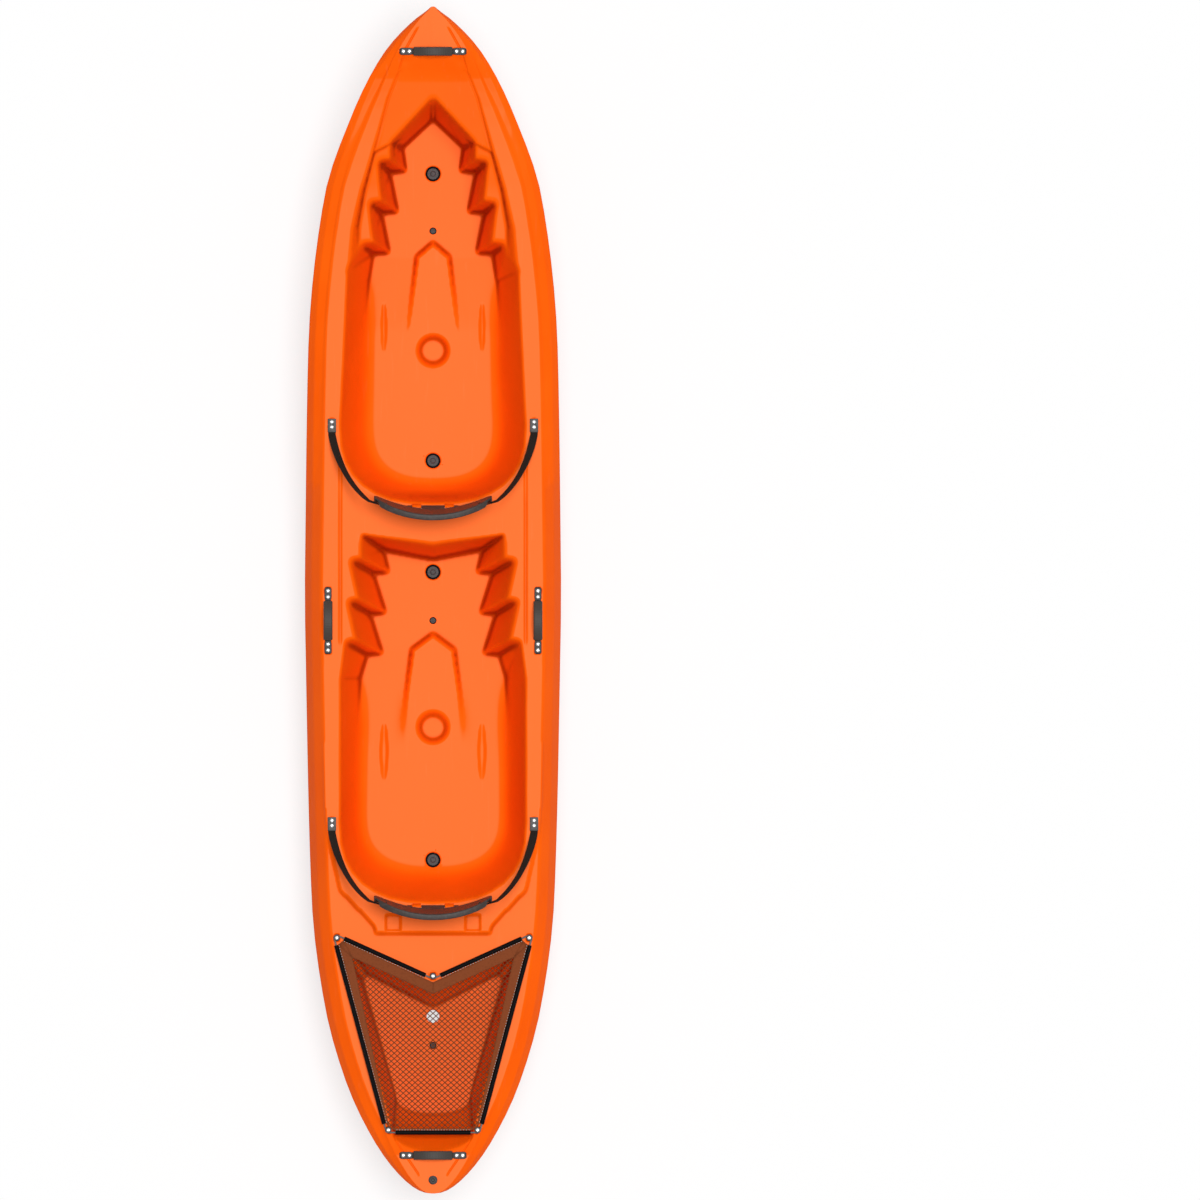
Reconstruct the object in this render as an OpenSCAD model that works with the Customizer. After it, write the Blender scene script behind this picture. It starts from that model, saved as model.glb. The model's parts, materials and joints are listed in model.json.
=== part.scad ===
// Two-seat sit-on-top kayak: a hollow moulded hull with two cockpits and a cargo well,
// folding backrests on webbing straps, carry handles, scupper plugs and a cargo net.
// +Y points to the bow, +X to starboard and +Z up. The hull rests on z = 0.

/* [Hull lengths] */
// Deck from the bow tip to the front cockpit
bow_deck = 288; // [250:1:340]
// Front cockpit, along the hull
front_cockpit = 1260; // [1180:1:1380]
// Deck between the cockpits, at the sides
mid_deck = 76; // [66:1:120]
// Rear cockpit, along the hull
rear_cockpit = 1170; // [1100:1:1290]
// Coaming behind the rear cockpit
coaming_deck = 94; // [80:1:120]
// Deck from the coaming's step to the cargo well
cargo_deck = 50; // [40:1:80]
// Cargo well, along the hull
cargo_well = 636; // [590:1:700]
// Deck from the cargo well to the stern tip
stern_deck = 126; // [118:1:150]

/* [Hull section] */
// Width of the cockpits at the rim
cockpit_width = 580; // [540:1:620]
// Flat top of each side rail
rail_width = 64; // [58:1:80]
// Slope from the rail out to the widest line, seen from above
shoulder = 46; // [36:1:60]
// Height of the side rails amidships
gunwale_height = 321; // [300:1:350]
// Height of the raised nose
bow_height = 413; // [390:1:450]
// Height of the raised stern
stern_height = 346; // [332:1:370]
// Drop from the side rails to the deck around the cargo well
aft_drop = 12; // [7:1:24]
// Depth of the two tunnels along the bottom
tunnel_depth = 12; // [4:1:20]
// Thickness of the moulded wall
wall = 4; // [3:0.5:6]

/* [Wells] */
// Height of the footwell floors
foot_floor = 92; // [84:1:100]
// Height of the seat floors
seat_floor = 118; // [110:1:128]
// Height of the cargo well's floor
cargo_floor = 170; // [150:1:190]
// Distance from one foot brace to the next
brace_pitch = 127; // [115:1:132]
// Radius of a cup recess at its mouth
cup_r = 51; // [44:0.5:55]
// Depth of a cup recess
cup_depth = 25; // [15:1:30]

/* [Scuppers and drain] */
// Radius of a scupper's bore
scupper_r = 20; // [16:0.5:22]
// Radius of a scupper plug's head
plug_head_r = 23; // [22.5:0.1:25]
// Radius of a bung's hole
bung_hole_r = 8; // [6:0.5:9]
// Radius of a bung's head
bung_head_r = 11; // [10.5:0.5:13]
// Radius of the drain's bore through the deck
drain_bore_r = 10; // [9:0.5:12]
// Radius of the drain's flange
drain_flange_r = 14; // [13.5:0.5:18]

/* [Handles] */
// Carry handle from end to end
handle_length = 209; // [200:1:220]
// Length of each end tab, from the foot of the arch to the tip
tab_length = 42; // [40:1:46]
// Width of a grip
grip_width = 28; // [24:1:32]
// Thickness of a grip
grip_t = 12; // [10:0.5:14]
// Width of a handle's end tabs
tab_width = 22; // [18:1:24]
// Thickness of a handle's end tabs
tab_t = 4; // [3:0.5:5]
// Rise of a handle's arch
handle_rise = 33; // [30:1:38]

/* [Backrests] */
// Width of a backrest
backrest_width = 368; // [340:1:390]
// Height of a backrest above its hinge
backrest_height = 166; // [150:1:180]
// Radius of a backrest's curve, seen from above
backrest_curve = 360; // [330:1:400]
// Lean of a backrest, in degrees
backrest_lean = 7; // [4:0.5:12]
// Thickness of a backrest's shell
backrest_t = 5; // [4:0.5:6]
// Depth of the flange round a backrest's edge
backrest_flange = 18; // [14:1:22]
// Radius of a hinge pin
pin_r = 4; // [3:0.25:5]
// Height of a hinge pin above the deck
pivot_height = 13; // [12:0.5:16]
// Width of a webbing strap
webbing_width = 22; // [18:1:25]
// Thickness of a webbing strap
webbing_t = 1.8; // [1.2:0.1:2.4]

/* [Cargo net] */
// Radius of the net's edge cord
cord_r = 2.5; // [2:0.1:3]
// Radius of the sleeves on the edge cord
sleeve_r = 6.8; // [5.5:0.1:7]
// Width of a gap in the net, corner to corner
net_gap = 30; // [26:1:32]
// Width of the net's strands
net_strand = 6; // [5:0.5:8]
// Thickness of the net
net_t = 2.5; // [1.5:0.1:3]

/* [Fasteners] */
// Radius of a screw's head
screw_head_r = 6.4; // [5.5:0.1:7]
// Radius of a screw's shank
screw_r = 2.4; // [2:0.1:3]
// Radius of a threaded insert
insert_r = 5; // [4:0.1:5.5]

/* [Hidden] */

$fn = 48;
fit_gap = 0.3;        // clearance where pieces seat on each other
running_gap = 0.05;   // clearance of a pin in its knuckles
lip = 6;              // how far the well cutters stand above the deck
eps = 1;              // overshoot of a cut

// Places along the hull, measured from its middle
half = (bow_deck + front_cockpit + mid_deck + rear_cockpit + coaming_deck
        + cargo_deck + cargo_well + stern_deck) / 2;
half_beam = cockpit_width / 2 + rail_width + shoulder;
aft_deck_height = gunwale_height - aft_drop;
grip_length = handle_length - 2 * tab_length;
front_y0 = half - bow_deck;
front_y1 = front_y0 - front_cockpit;
rear_y0 = front_y1 - mid_deck;
rear_y1 = rear_y0 - rear_cockpit;
coaming_y = rear_y1 - coaming_deck;
cargo_y0 = coaming_y - cargo_deck;
cargo_y1 = cargo_y0 - cargo_well;
crease_y = front_y1 + 64;
crease_run = 20;
side_handle_y = rear_y0 - 290;
bow_handle_y = half - 140;
stern_handle_y = -half + 119;
drain_y = -half + 42;

// Smooth curve through a list of [place, value] pairs, with no overshoot
function rate(p, i) = (p[i + 1][1] - p[i][1]) / (p[i + 1][0] - p[i][0]);
function slope(p, i) =
    i == 0 ? rate(p, 0) :
    i == len(p) - 1 ? rate(p, i - 1) :
    let (a = rate(p, i - 1), b = rate(p, i))
    a * b <= 0 ? 0 : 2 * a * b / (a + b);
function piece(p, x, i = 0) = i >= len(p) - 2 || x <= p[i + 1][0] ? i : piece(p, x, i + 1);
function fair(p, x) =
    let (
        i = piece(p, x),
        h = p[i + 1][0] - p[i][0],
        t = min(1, max(0, (x - p[i][0]) / h))
    )
    p[i][1] * (1 + 2 * t) * (1 - t) * (1 - t) + p[i + 1][1] * t * t * (3 - 2 * t)
        + h * slope(p, i) * t * (1 - t) * (1 - t) - h * slope(p, i + 1) * t * t * (1 - t);
function mix(a, b, t) = a + (b - a) * t;
function unit(v) = v / norm(v);
function mirrored(p) = [-p[0], p[1]];
function flip(list) = [for (i = [len(list) - 1:-1:0]) list[i]];

// Lines of the hull. Half-breadths are shares of the half-beam, by the root of the
// distance from each tip as a share of the half-length.
bow_plan = [
    [0, 0.006], [0.074, 0.04], [0.147, 0.14], [0.288, 0.397],
    [0.437, 0.647], [0.57, 0.85], [0.76, 0.972], [1, 1]
];
stern_plan = [[0, 0.01], [0.151, 0.222], [0.3, 0.462], [0.437, 0.682], [0.57, 0.85], [0.703, 0.945], [1, 1]];
bow_keel = [[0, 349], [97, 224], [159, 153], [203, 112], [296, 59], [421, 25], [608, 6], [1000, 0], [1400, 0]];
stern_keel = [[0, 312], [11, 277], [42, 190], [73, 125], [105, 90], [167, 53], [292, 25], [603, 3], [900, 0]];
vee_by_tip = [[0, 1], [300, 0.62], [900, 0.06], [1200, 0], [1400, 0]];
nose_end = half - 156;
stern_end = -half + 138;
sheer_line = [
    [-half, stern_height],
    [stern_end, stern_height],
    [stern_end + 30, mix(aft_deck_height, stern_height, 0.52)],
    [cargo_y1 + 280, aft_deck_height + 3],
    [cargo_y0 - 60, aft_deck_height],
    [coaming_y, aft_deck_height],
    [side_handle_y - 125, gunwale_height],
    [front_y0 - 785, gunwale_height],
    [front_y0 - 500, gunwale_height + 5],
    [front_y0 - 310, gunwale_height + 16],
    [front_y0 - 70, gunwale_height + 40],
    [nose_end - 90, bow_height - 36],
    [nose_end - 36, bow_height - 25],
    [nose_end, bow_height],
    [half, bow_height]
];
chine_line = [
    [-half, stern_height - 21],
    [-half + 292, 259],
    [coaming_y, 224],
    [rear_y1 + 100, 212],
    [rear_y0 - 200, 212],
    [crease_y - crease_run, 221],
    [crease_y, 242],
    [front_y0 - 315, 299],
    [half - 140, bow_height - 39],
    [half, bow_height - 28]
];
function half_breadth(y) =
    half_beam * (y >= 0 ? fair(bow_plan, sqrt((half - y) / half)) : fair(stern_plan, sqrt((half + y) / half)));
function keel(y) = y >= 0 ? fair(bow_keel, half - y) : fair(stern_keel, half + y);
function sheer(y) = fair(sheer_line, y);
function chine(y) = fair(chine_line, y);
function shoulder_in(y) = min(shoulder, 0.22 * half_breadth(y));
function rail_edge(y) = min(8, 0.04 * half_breadth(y));
function deck_half(y) = half_breadth(y) - shoulder_in(y) - rail_edge(y);
function deck(y) = max(sheer(y), y > coaming_y && y < side_handle_y ? gunwale_height : 0);

// Half of a cross-section from the keel up to the middle of the deck
function half_section(y) =
    let (
        b = half_breadth(y),
        k = keel(y),
        c = chine(y),
        s = sheer(y),
        h = c - k,
        v = fair(vee_by_tip, half - abs(y)),
        e = rail_edge(y),
        w = shoulder_in(y)
    )
    [
        [0, k],
        [0.1 * b, k + 0.06 * h * v],
        [0.3 * b, k + tunnel_depth * (1 - v) + 0.2 * h * v],
        [0.5 * b, k + 0.36 * h * v],
        [0.6 * b, k + 0.45 * h * v],
        [0.8 * b, k + h * mix(0.14, 0.64, v)],
        [0.92 * b, k + h * mix(0.36, 0.8, v)],
        [0.975 * b, k + h * mix(0.66, 0.92, v)],
        [b, c],
        [b - 0.45 * w, mix(c, s, 0.55)],
        [b - w, s - e],
        [b - w - e, s],
        [0, s]
    ];
function closed(side) = concat(side, [for (i = [len(side) - 2:-1:1]) mirrored(side[i])]);

// Outline moved outward by d, with its points in order
function moved(ring, d) =
    let (n = len(ring))
    [
        for (i = [0:n - 1])
        let (
            a = unit(ring[i] - ring[(i + n - 1) % n]),
            b = unit(ring[(i + 1) % n] - ring[i]),
            na = [a[1], -a[0]],
            nb = [b[1], -b[0]]
        )
        ring[i] + d * (na + nb) / max(0.4, 1 + na * nb)
    ];

// Closed skin over rings of equal length, capped at both ends about two middle points
module skin(rings, first, last) {
    n = len(rings[0]);
    m = len(rings);
    points = concat([for (r = rings) each r], [first, last]);
    sides = [
        for (j = [0:m - 2], i = [0:n - 1])
        let (
            a = j * n + i,
            b = j * n + (i + 1) % n
        )
        each [[a, b, a + n], [b, b + n, a + n]]
    ];
    caps = [
        for (i = [0:n - 1])
        let (k = (i + 1) % n)
        each [[k, i, n * m], [(m - 1) * n + i, (m - 1) * n + k, n * m + 1]]
    ];
    polyhedron(points, concat(sides, caps));
}

// Hull body, from cross-sections drawn in by the given amount
aft_steps = 30;
fore_steps = 26;
stations = concat(
    [for (i = [0:aft_steps]) -half + (crease_y - crease_run + half) * pow(i / aft_steps, 2)],
    [for (i = [fore_steps:-1:0]) half - (half - crease_y) * pow(i / fore_steps, 2)]
);
module hull_body(inset, places) {
    rings = [
        for (y = places)
        [for (p = moved(closed(half_section(y)), -inset)) [p[0], y, p[1]]]
    ];
    y0 = places[0];
    y1 = places[len(places) - 1];
    skin(rings, [0, y0, mix(keel(y0), sheer(y0), 0.5)], [0, y1, mix(keel(y1), sheer(y1), 0.5)]);
}

// Outlines of the wells, as half-lists of [x, y] from the front to the rear
nose_x = 6;
function braces(x, step, depth, y) = [
    for (i = [0:2])
    each [[x + i * step, y - i * brace_pitch], [x + i * step + depth, y - i * brace_pitch - 5]]
];
function round_end(x, y0, y1) = [
    for (a = [0:11.25:90])
    [max(nose_x, x * pow(cos(a), 0.8)), mix(y0, y1, pow(sin(a), 0.8))]
];
rim_half = cockpit_width / 2;
floor_half = rim_half - 85;
front_rim = concat(
    [[nose_x, front_y0], [134, front_y0 - 137]],
    braces(134, 29, 40, front_y0 - 187),
    [[rim_half - 22, front_y0 - 536]],
    round_end(rim_half, front_y1 + 240, front_y1)
);
front_floor = concat(
    [[nose_x, front_y0 - 70], [94, front_y0 - 153]],
    braces(84, 26, 50, front_y0 - 225),
    [[floor_half - 8, front_y0 - 570]],
    round_end(floor_half, front_y1 + 240, front_y1 + 44)
);
rear_rim = concat(
    [[nose_x, rear_y0 - 55], [224, rear_y0 - 21]],
    braces(224, 8, 35, rear_y0 - 95),
    [[rim_half, rear_y0 - 470]],
    round_end(rim_half, rear_y1 + 250, rear_y1)
);
rear_floor = concat(
    [[nose_x, rear_y0 - 98], [154, rear_y0 - 70]],
    braces(137, 10, 48, rear_y0 - 139),
    [[floor_half + 20, rear_y0 - 470]],
    round_end(floor_half + 26, rear_y1 + 280, rear_y1 + 92)
);
foredeck_y0 = front_y0 + 90;
foredeck_y1 = front_y0 - 520;
foredeck_rim = [
    [nose_x, foredeck_y0],
    [108, foredeck_y0],
    [145, front_y0],
    [190, front_y0 - 163],
    [225, front_y0 - 288],
    [rim_half - 38, front_y0 - 407],
    [rim_half - 28, foredeck_y1],
    [nose_x, foredeck_y1]
];
foredeck_base = [
    [nose_x, foredeck_y0 - 4],
    [104, foredeck_y0 - 4],
    [138, front_y0],
    [180, front_y0 - 163],
    [214, front_y0 - 288],
    [rim_half - 57, front_y0 - 407],
    [rim_half - 58, foredeck_y1 + 4],
    [nose_x, foredeck_y1 + 4]
];
cargo_front_x = deck_half(cargo_y0) - 40;
cargo_aft_x = deck_half(cargo_y1 + 78) - 24;
cargo_rim = concat(
    [[nose_x, cargo_y0 - 112], [cargo_front_x - 16, cargo_y0], [cargo_front_x, cargo_y0 - 22]],
    round_end(cargo_aft_x, cargo_y1 + 78, cargo_y1)
);
cargo_base = concat(
    [[nose_x, cargo_y0 - 176], [cargo_front_x - 66, cargo_y0 - 76], [cargo_front_x - 50, cargo_y0 - 100]],
    round_end(cargo_aft_x - 8, cargo_y1 + 190, cargo_y1 + 120)
);

// Well between a rim outline on the deck and a floor outline, grown by a wall
function loop_of(side) = concat(flip([for (p = side) mirrored(p)]), side);
module well(rim, base, base_z, grow) {
    top = moved(loop_of(rim), -grow);
    low = moved(loop_of(base), -grow);
    mid = (rim[0][1] + rim[len(rim) - 1][1]) / 2;
    skin(
        [
            [for (p = low) [p[0], p[1], base_z - grow]],
            [for (p = top) [p[0], p[1], deck(p[1]) + lip]]
        ],
        [0, mid, base_z - grow],
        [0, mid, bow_height + lip]
    );
}

// Raised seat floor with its ramp and the shield between the legs
module seat_rise(ramp_y0, ramp_y1, tip_y, tip_x, end_x, end_y) {
    below = foot_floor - 40;
    translate([-half_beam, 0, 0])
        rotate([90, 0, 90])
            linear_extrude(2 * half_beam)
                polygon([
                    [ramp_y0, below], [ramp_y0, foot_floor], [ramp_y1, seat_floor],
                    [end_y, seat_floor], [end_y, below]
                ]);
    translate([0, 0, below])
        linear_extrude(seat_floor - below)
            polygon([
                [0, tip_y], [tip_x, ramp_y0], [end_x, ramp_y1 - eps],
                [-end_x, ramp_y1 - eps], [-tip_x, ramp_y0]
            ]);
}
module cup(y, grow) {
    translate([0, y, seat_floor - cup_depth - grow])
        cylinder(h = cup_depth + grow + eps, r1 = cup_r - 14 + grow, r2 = cup_r + grow, $fn = 32);
}
front_cup_y = front_y0 - 785;
rear_cup_y = rear_y0 - 623;
module front_well(grow) {
    difference() {
        well(front_rim, front_floor, foot_floor, grow);
        translate([0, 0, -grow])
            seat_rise(front_y0 - 492, front_y0 - 732, front_y0 - 449, 50, 80, front_y1 - 60);
    }
    cup(front_cup_y, grow);
}
module rear_well(grow) {
    difference() {
        well(rear_rim, rear_floor, foot_floor, grow);
        translate([0, 0, -grow])
            seat_rise(rear_y0 - 380, rear_y0 - 712, rear_y0 - 333, 65, 109, rear_y1 - 60);
    }
    cup(rear_cup_y, grow);
}

module cargo_hollow(grow) {
    well(cargo_rim, cargo_base, cargo_floor, grow);
}

// Foredeck between the rails, on a plane that falls from the nose to the cockpit
foredeck_rise = 61;
foredeck_slope = 0.178;
function foredeck_z(y) =
    min(deck(y) + lip / 2, gunwale_height + foredeck_rise + foredeck_slope * (y - foredeck_y0));
module foredeck(grow) {
    top = moved(loop_of(foredeck_rim), -grow);
    low = moved(loop_of(foredeck_base), -grow);
    mid = (foredeck_y0 + foredeck_y1) / 2;
    skin(
        [
            [for (p = low) [p[0], p[1], foredeck_z(p[1]) - grow]],
            [for (p = top) [p[0], p[1], deck(p[1]) + lip]]
        ],
        [0, mid, foredeck_z(mid) - grow],
        [0, mid, bow_height + lip]
    );
}

// Scuppers as [y, floor height, has a plug], and the bungs as [y, floor height]
scuppers = [
    [front_y0 - 234, foot_floor, true],
    [front_y1 + 132, seat_floor, true],
    [rear_y0 - 139, foot_floor, true],
    [rear_y1 + 134, seat_floor, true],
    [cargo_y0 - 210, cargo_floor, false]
];
bungs = [
    [front_y0 - 412, foot_floor],
    [rear_y0 - 290, foot_floor],
    [cargo_y0 - 300, cargo_floor]
];
plug_head_t = 6;
plug_seat = 9;
seat_r = plug_head_r + fit_gap;

// Places of the fittings
rail_x = rim_half + 0.58 * rail_width;
anchor_x = rim_half + 25;
front_anchor_y = front_y1 + 242;
rear_anchor_y = rear_y1 + 246;
net_front_y = coaming_y - 15;
net_nose_y = cargo_y0 - 84;
net_aft_y = cargo_y1 + 72;
net_front_x = deck_half(net_front_y) - 15;
net_aft_x = deck_half(net_aft_y) - 11;
button_r = 10;
pad = 1.5;
net_low = sheer(net_front_y) + pad;
net_high = sheer(net_aft_y - button_r) + pad;
net_rate = (net_high - net_low) / (net_aft_y - net_front_y);
function seat_z(y) = net_low + net_rate * (y - net_front_y);
buttons = [
    [-net_front_x, net_front_y],
    [0, net_nose_y],
    [net_front_x, net_front_y],
    [net_aft_x, net_aft_y],
    [-net_aft_x, net_aft_y]
];
screw_out = handle_length / 2 - 12;
screw_in = screw_out - 19;
anchor_length = 42;
anchor_screws = [11, -5];

// Screws as [x, y, height of the deck under the fitting]
handle_points = concat(
    [for (s = [-1, 1], d = [screw_in, screw_out]) [s * d, bow_handle_y, bow_height]],
    [for (s = [-1, 1], d = [screw_in, screw_out]) [s * d, stern_handle_y, stern_height]],
    [for (x = [-rail_x, rail_x], s = [-1, 1], d = [screw_in, screw_out]) [x, side_handle_y + s * d, gunwale_height]]
);
strap_points = [
    for (y = [front_anchor_y, rear_anchor_y], s = [-1, 1], d = anchor_screws)
    [s * anchor_x, y + d, gunwale_height]
];
net_points = [for (p = buttons) [p[0], p[1], seat_z(p[1])]];
insert_length = 14;
module at_points(points) {
    for (p = points)
        translate(p)
            children();
}

// Lugs of a backrest's hinge, moulded on the deck
lug_in = 37;
lug_width = 28;
lug_length = 24;
lug_y = 16;
front_pivot = [0, front_y1 - lug_y, gunwale_height + pivot_height];
rear_pivot = [0, rear_y1 - lug_y, gunwale_height + pivot_height];
module lugs(pivot) {
    for (s = [0, 1])
        mirror([s, 0, 0])
            translate([lug_in, pivot[1], pivot[2]])
                rotate([90, 0, 90])
                    linear_extrude(lug_width)
                        difference() {
                            polygon([
                                [-lug_length / 2, -pivot_height - eps],
                                [lug_length / 2, -pivot_height - eps],
                                [lug_length / 2, 0],
                                [pin_r + 2, pin_r + 4],
                                [-pin_r - 2, pin_r + 4],
                                [-lug_length / 2, 0]
                            ]);
                            circle(r = pin_r + fit_gap, $fn = 16);
                        }
}

// Raised rim round the back of the rear cockpit
module coaming() {
    side = [
        [deck_half(0) - 2, side_handle_y - 140],
        [deck_half(0) - 6, rear_y1 + 320],
        [rim_half + 43, rear_y1 + 230],
        [rim_half, rear_y1 + 40],
        [184, rear_y1 - 70],
        [178, coaming_y]
    ];
    depth = aft_drop + 30;
    translate([0, 0, gunwale_height - depth])
        linear_extrude(depth)
            polygon(loop_of(side));
}
module net_pads() {
    at_points(net_points)
        translate([0, 0, -wall - 12])
            cylinder(h = wall + 12, r = button_r + 2, $fn = 16);
}
module screw_holes() {
    at_points(concat(handle_points, strap_points, net_points))
        translate([0, 0, -40])
            cylinder(h = 40 + eps, r = (insert_r + fit_gap) / cos(30), $fn = 6);
}

// Air space inside the hull
module air_space() {
    aft = [for (i = [2:2:aft_steps]) stations[i]];
    fore = [for (i = [aft_steps + 1:2:len(stations) - 3]) stations[i]];
    difference() {
        hull_body(wall, [for (y = concat(aft, fore)) if (y > -half + 14 && y < half - 22) y]);
        front_well(wall);
        rear_well(wall);
        cargo_hollow(wall);
        foredeck(wall);
        for (s = scuppers)
            translate([0, s[0], -eps])
                cylinder(h = s[1], r = seat_r + wall, $fn = 32);
    }
}
module moulding() {
    difference() {
        union() {
            hull_body(0, stations);
            coaming();
            net_pads();
            lugs(front_pivot);
            lugs(rear_pivot);
        }
        air_space();
        front_well(0);
        rear_well(0);
        cargo_hollow(0);
        foredeck(0);
        screw_holes();
    }
}
module bores() {
    for (s = scuppers) {
        translate([0, s[0], -eps])
            cylinder(h = s[1] + 2 * eps, r = scupper_r);
        if (s[2])
            translate([0, s[0], s[1] - plug_seat])
                cylinder(h = plug_seat + eps, r = seat_r);
    }
    for (b = bungs)
        translate([0, b[0], b[1] - 3 * wall])
            cylinder(h = 3 * wall + eps, r = bung_hole_r);
    translate([0, drain_y, stern_height - 4 * wall])
        cylinder(h = 4 * wall + eps, r = drain_bore_r);
}
module hull_shell() {
    color("orangered")
        difference() {
            resize([0, 2 * half, 0])
                moulding();
            bores();
        }
}

// Carry handles: a band with end tabs and an arched grip sleeve over it
arch_r = (pow(grip_length / 2, 2) + pow(handle_rise, 2)) / (2 * handle_rise);
arch_z = tab_t / 2 + handle_rise - arch_r;
arch_half = asin(grip_length / 2 / arch_r);
grip_half = arch_half - 5.7;
band_width = tab_width - 4;
module arch(sweep) {
    translate([0, 0, arch_z])
        rotate([90, 0, 0])
            rotate([0, 0, 90 - sweep])
                rotate_extrude(angle = 2 * sweep)
                    translate([arch_r, 0])
                        children();
}
module handle_band() {
    color("dimgray")
        difference() {
            union() {
                arch(arch_half)
                    square([tab_t, band_width], center = true);
                for (s = [-1, 1])
                    translate([s * ((handle_length - tab_length) / 2 - 1), 0, tab_t / 2])
                        cube([tab_length + 2, tab_width, tab_t], center = true);
            }
            for (s = [-1, 1], d = [screw_in, screw_out])
                translate([s * d, 0, -eps])
                    cylinder(h = tab_t + 2 * eps, r = screw_r + fit_gap);
        }
}
module handle_grip() {
    color("darkslategray")
        arch(grip_half)
            difference() {
                union() {
                    square([grip_t, grip_width - grip_t], center = true);
                    for (s = [-1, 1])
                        translate([0, s * (grip_width - grip_t) / 2])
                            circle(d = grip_t);
                }
                square([tab_t + 2 * fit_gap, band_width + 2 * fit_gap], center = true);
            }
}
module at_bow() { translate([0, bow_handle_y, bow_height]) children(); }
module at_stern() { translate([0, stern_handle_y, stern_height]) children(); }
module at_side(s) { translate([s * rail_x, side_handle_y, gunwale_height]) rotate([0, 0, 90]) children(); }
module bow_handle() { at_bow() handle_band(); }
module stern_handle() { at_stern() handle_band(); }
module port_handle() { at_side(-1) handle_band(); }
module starboard_handle() { at_side(1) handle_band(); }
module bow_grip() { at_bow() handle_grip(); }
module stern_grip() { at_stern() handle_grip(); }
module port_grip() { at_side(-1) handle_grip(); }
module starboard_grip() { at_side(1) handle_grip(); }

// Pan-head screw whose head seats at the given height over the deck
head_t = 3;
module screw(seat) {
    color("white")
        translate([0, 0, seat]) {
            difference() {
                intersection() {
                    cylinder(h = head_t, r = screw_head_r);
                    translate([0, 0, head_t - 12])
                        sphere(r = 12);
                }
                translate([0, 0, head_t - 1.2 + eps])
                    cube([1.2, 7, 2], center = true);
                translate([0, 0, head_t - 1.2 + eps])
                    cube([7, 1.2, 2], center = true);
            }
            translate([0, 0, -seat - insert_length + 2])
                cylinder(h = seat + insert_length - 2 + eps / 2, r = screw_r);
        }
}
anchor_t = 5;
button_h = 14;
module handle_screws() { at_points(handle_points) screw(tab_t); }
module strap_screws() { at_points(strap_points) screw(anchor_t); }
module net_screws() { at_points(net_points) screw(button_h); }
module threaded_inserts() {
    color("goldenrod")
        at_points(concat(handle_points, strap_points, net_points))
            translate([0, 0, -insert_length])
                difference() {
                    cylinder(h = insert_length, r = insert_r);
                    translate([0, 0, 2])
                        cylinder(h = insert_length, r = screw_r + fit_gap / 2);
                }
}

// Anchor plates with a pocket at the rear for the end of a strap
pocket = 12;
module anchor() {
    color("dimgray")
        translate([0, -anchor_length / 2, 0])
            difference() {
                translate([-webbing_width / 2 - 2, 0, 0])
                    cube([webbing_width + 4, anchor_length, anchor_t]);
                translate([-webbing_width / 2 - fit_gap, -eps, 1])
                    cube([webbing_width + 2 * fit_gap, pocket + eps, webbing_t + 2 * fit_gap]);
                for (d = anchor_screws)
                    translate([0, anchor_length / 2 + d, -eps])
                        cylinder(h = anchor_t + 2 * eps, r = screw_r + fit_gap);
            }
}
module anchors(y) {
    for (s = [-1, 1])
        translate([s * anchor_x, y, gunwale_height])
            anchor();
}
module front_strap_anchors() { anchors(front_anchor_y); }
module rear_strap_anchors() { anchors(rear_anchor_y); }

// Backrest in its own frame: the hinge along x, leaning back about it
module leaning(pivot) { translate(pivot) rotate([backrest_lean, 0, 0]) children(); }
module on_curve(angle, r) {
    translate([0, backrest_curve, 0])
        rotate([0, 0, angle])
            translate([0, -r, 0])
                children();
}
function oval(w, h, z) = [
    for (a = [0:7.5:359])
    [w * sign(cos(a)) * pow(abs(cos(a)), 0.8), z + h * sign(sin(a)) * pow(abs(sin(a)), 0.8)]
];
panel_low = 14;
panel_mid = (backrest_height + panel_low) / 2;
panel_half = (backrest_height - panel_low) / 2;
tongue_half = lug_in - 4 * fit_gap;
module extruded_back() {
    translate([0, backrest_curve, 0])
        rotate([90, 0, 0])
            linear_extrude(2 * backrest_curve)
                children();
}
module curved_wall(inner, outer) {
    translate([0, backrest_curve, -pivot_height])
        difference() {
            cylinder(h = backrest_height + 2 * pivot_height, r = outer, $fn = 96);
            translate([0, 0, -eps])
                cylinder(h = backrest_height + 2 * pivot_height + 2 * eps, r = inner, $fn = 96);
        }
}
slot_height = (backrest_height + panel_low) / 2 + 24;
slot_angle = asin((backrest_width / 2 - 39) / backrest_curve);
knuckle_r = pin_r + 5;
outer_knuckle = lug_in + lug_width + 3 * fit_gap;
knuckle_width = 14;
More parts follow.
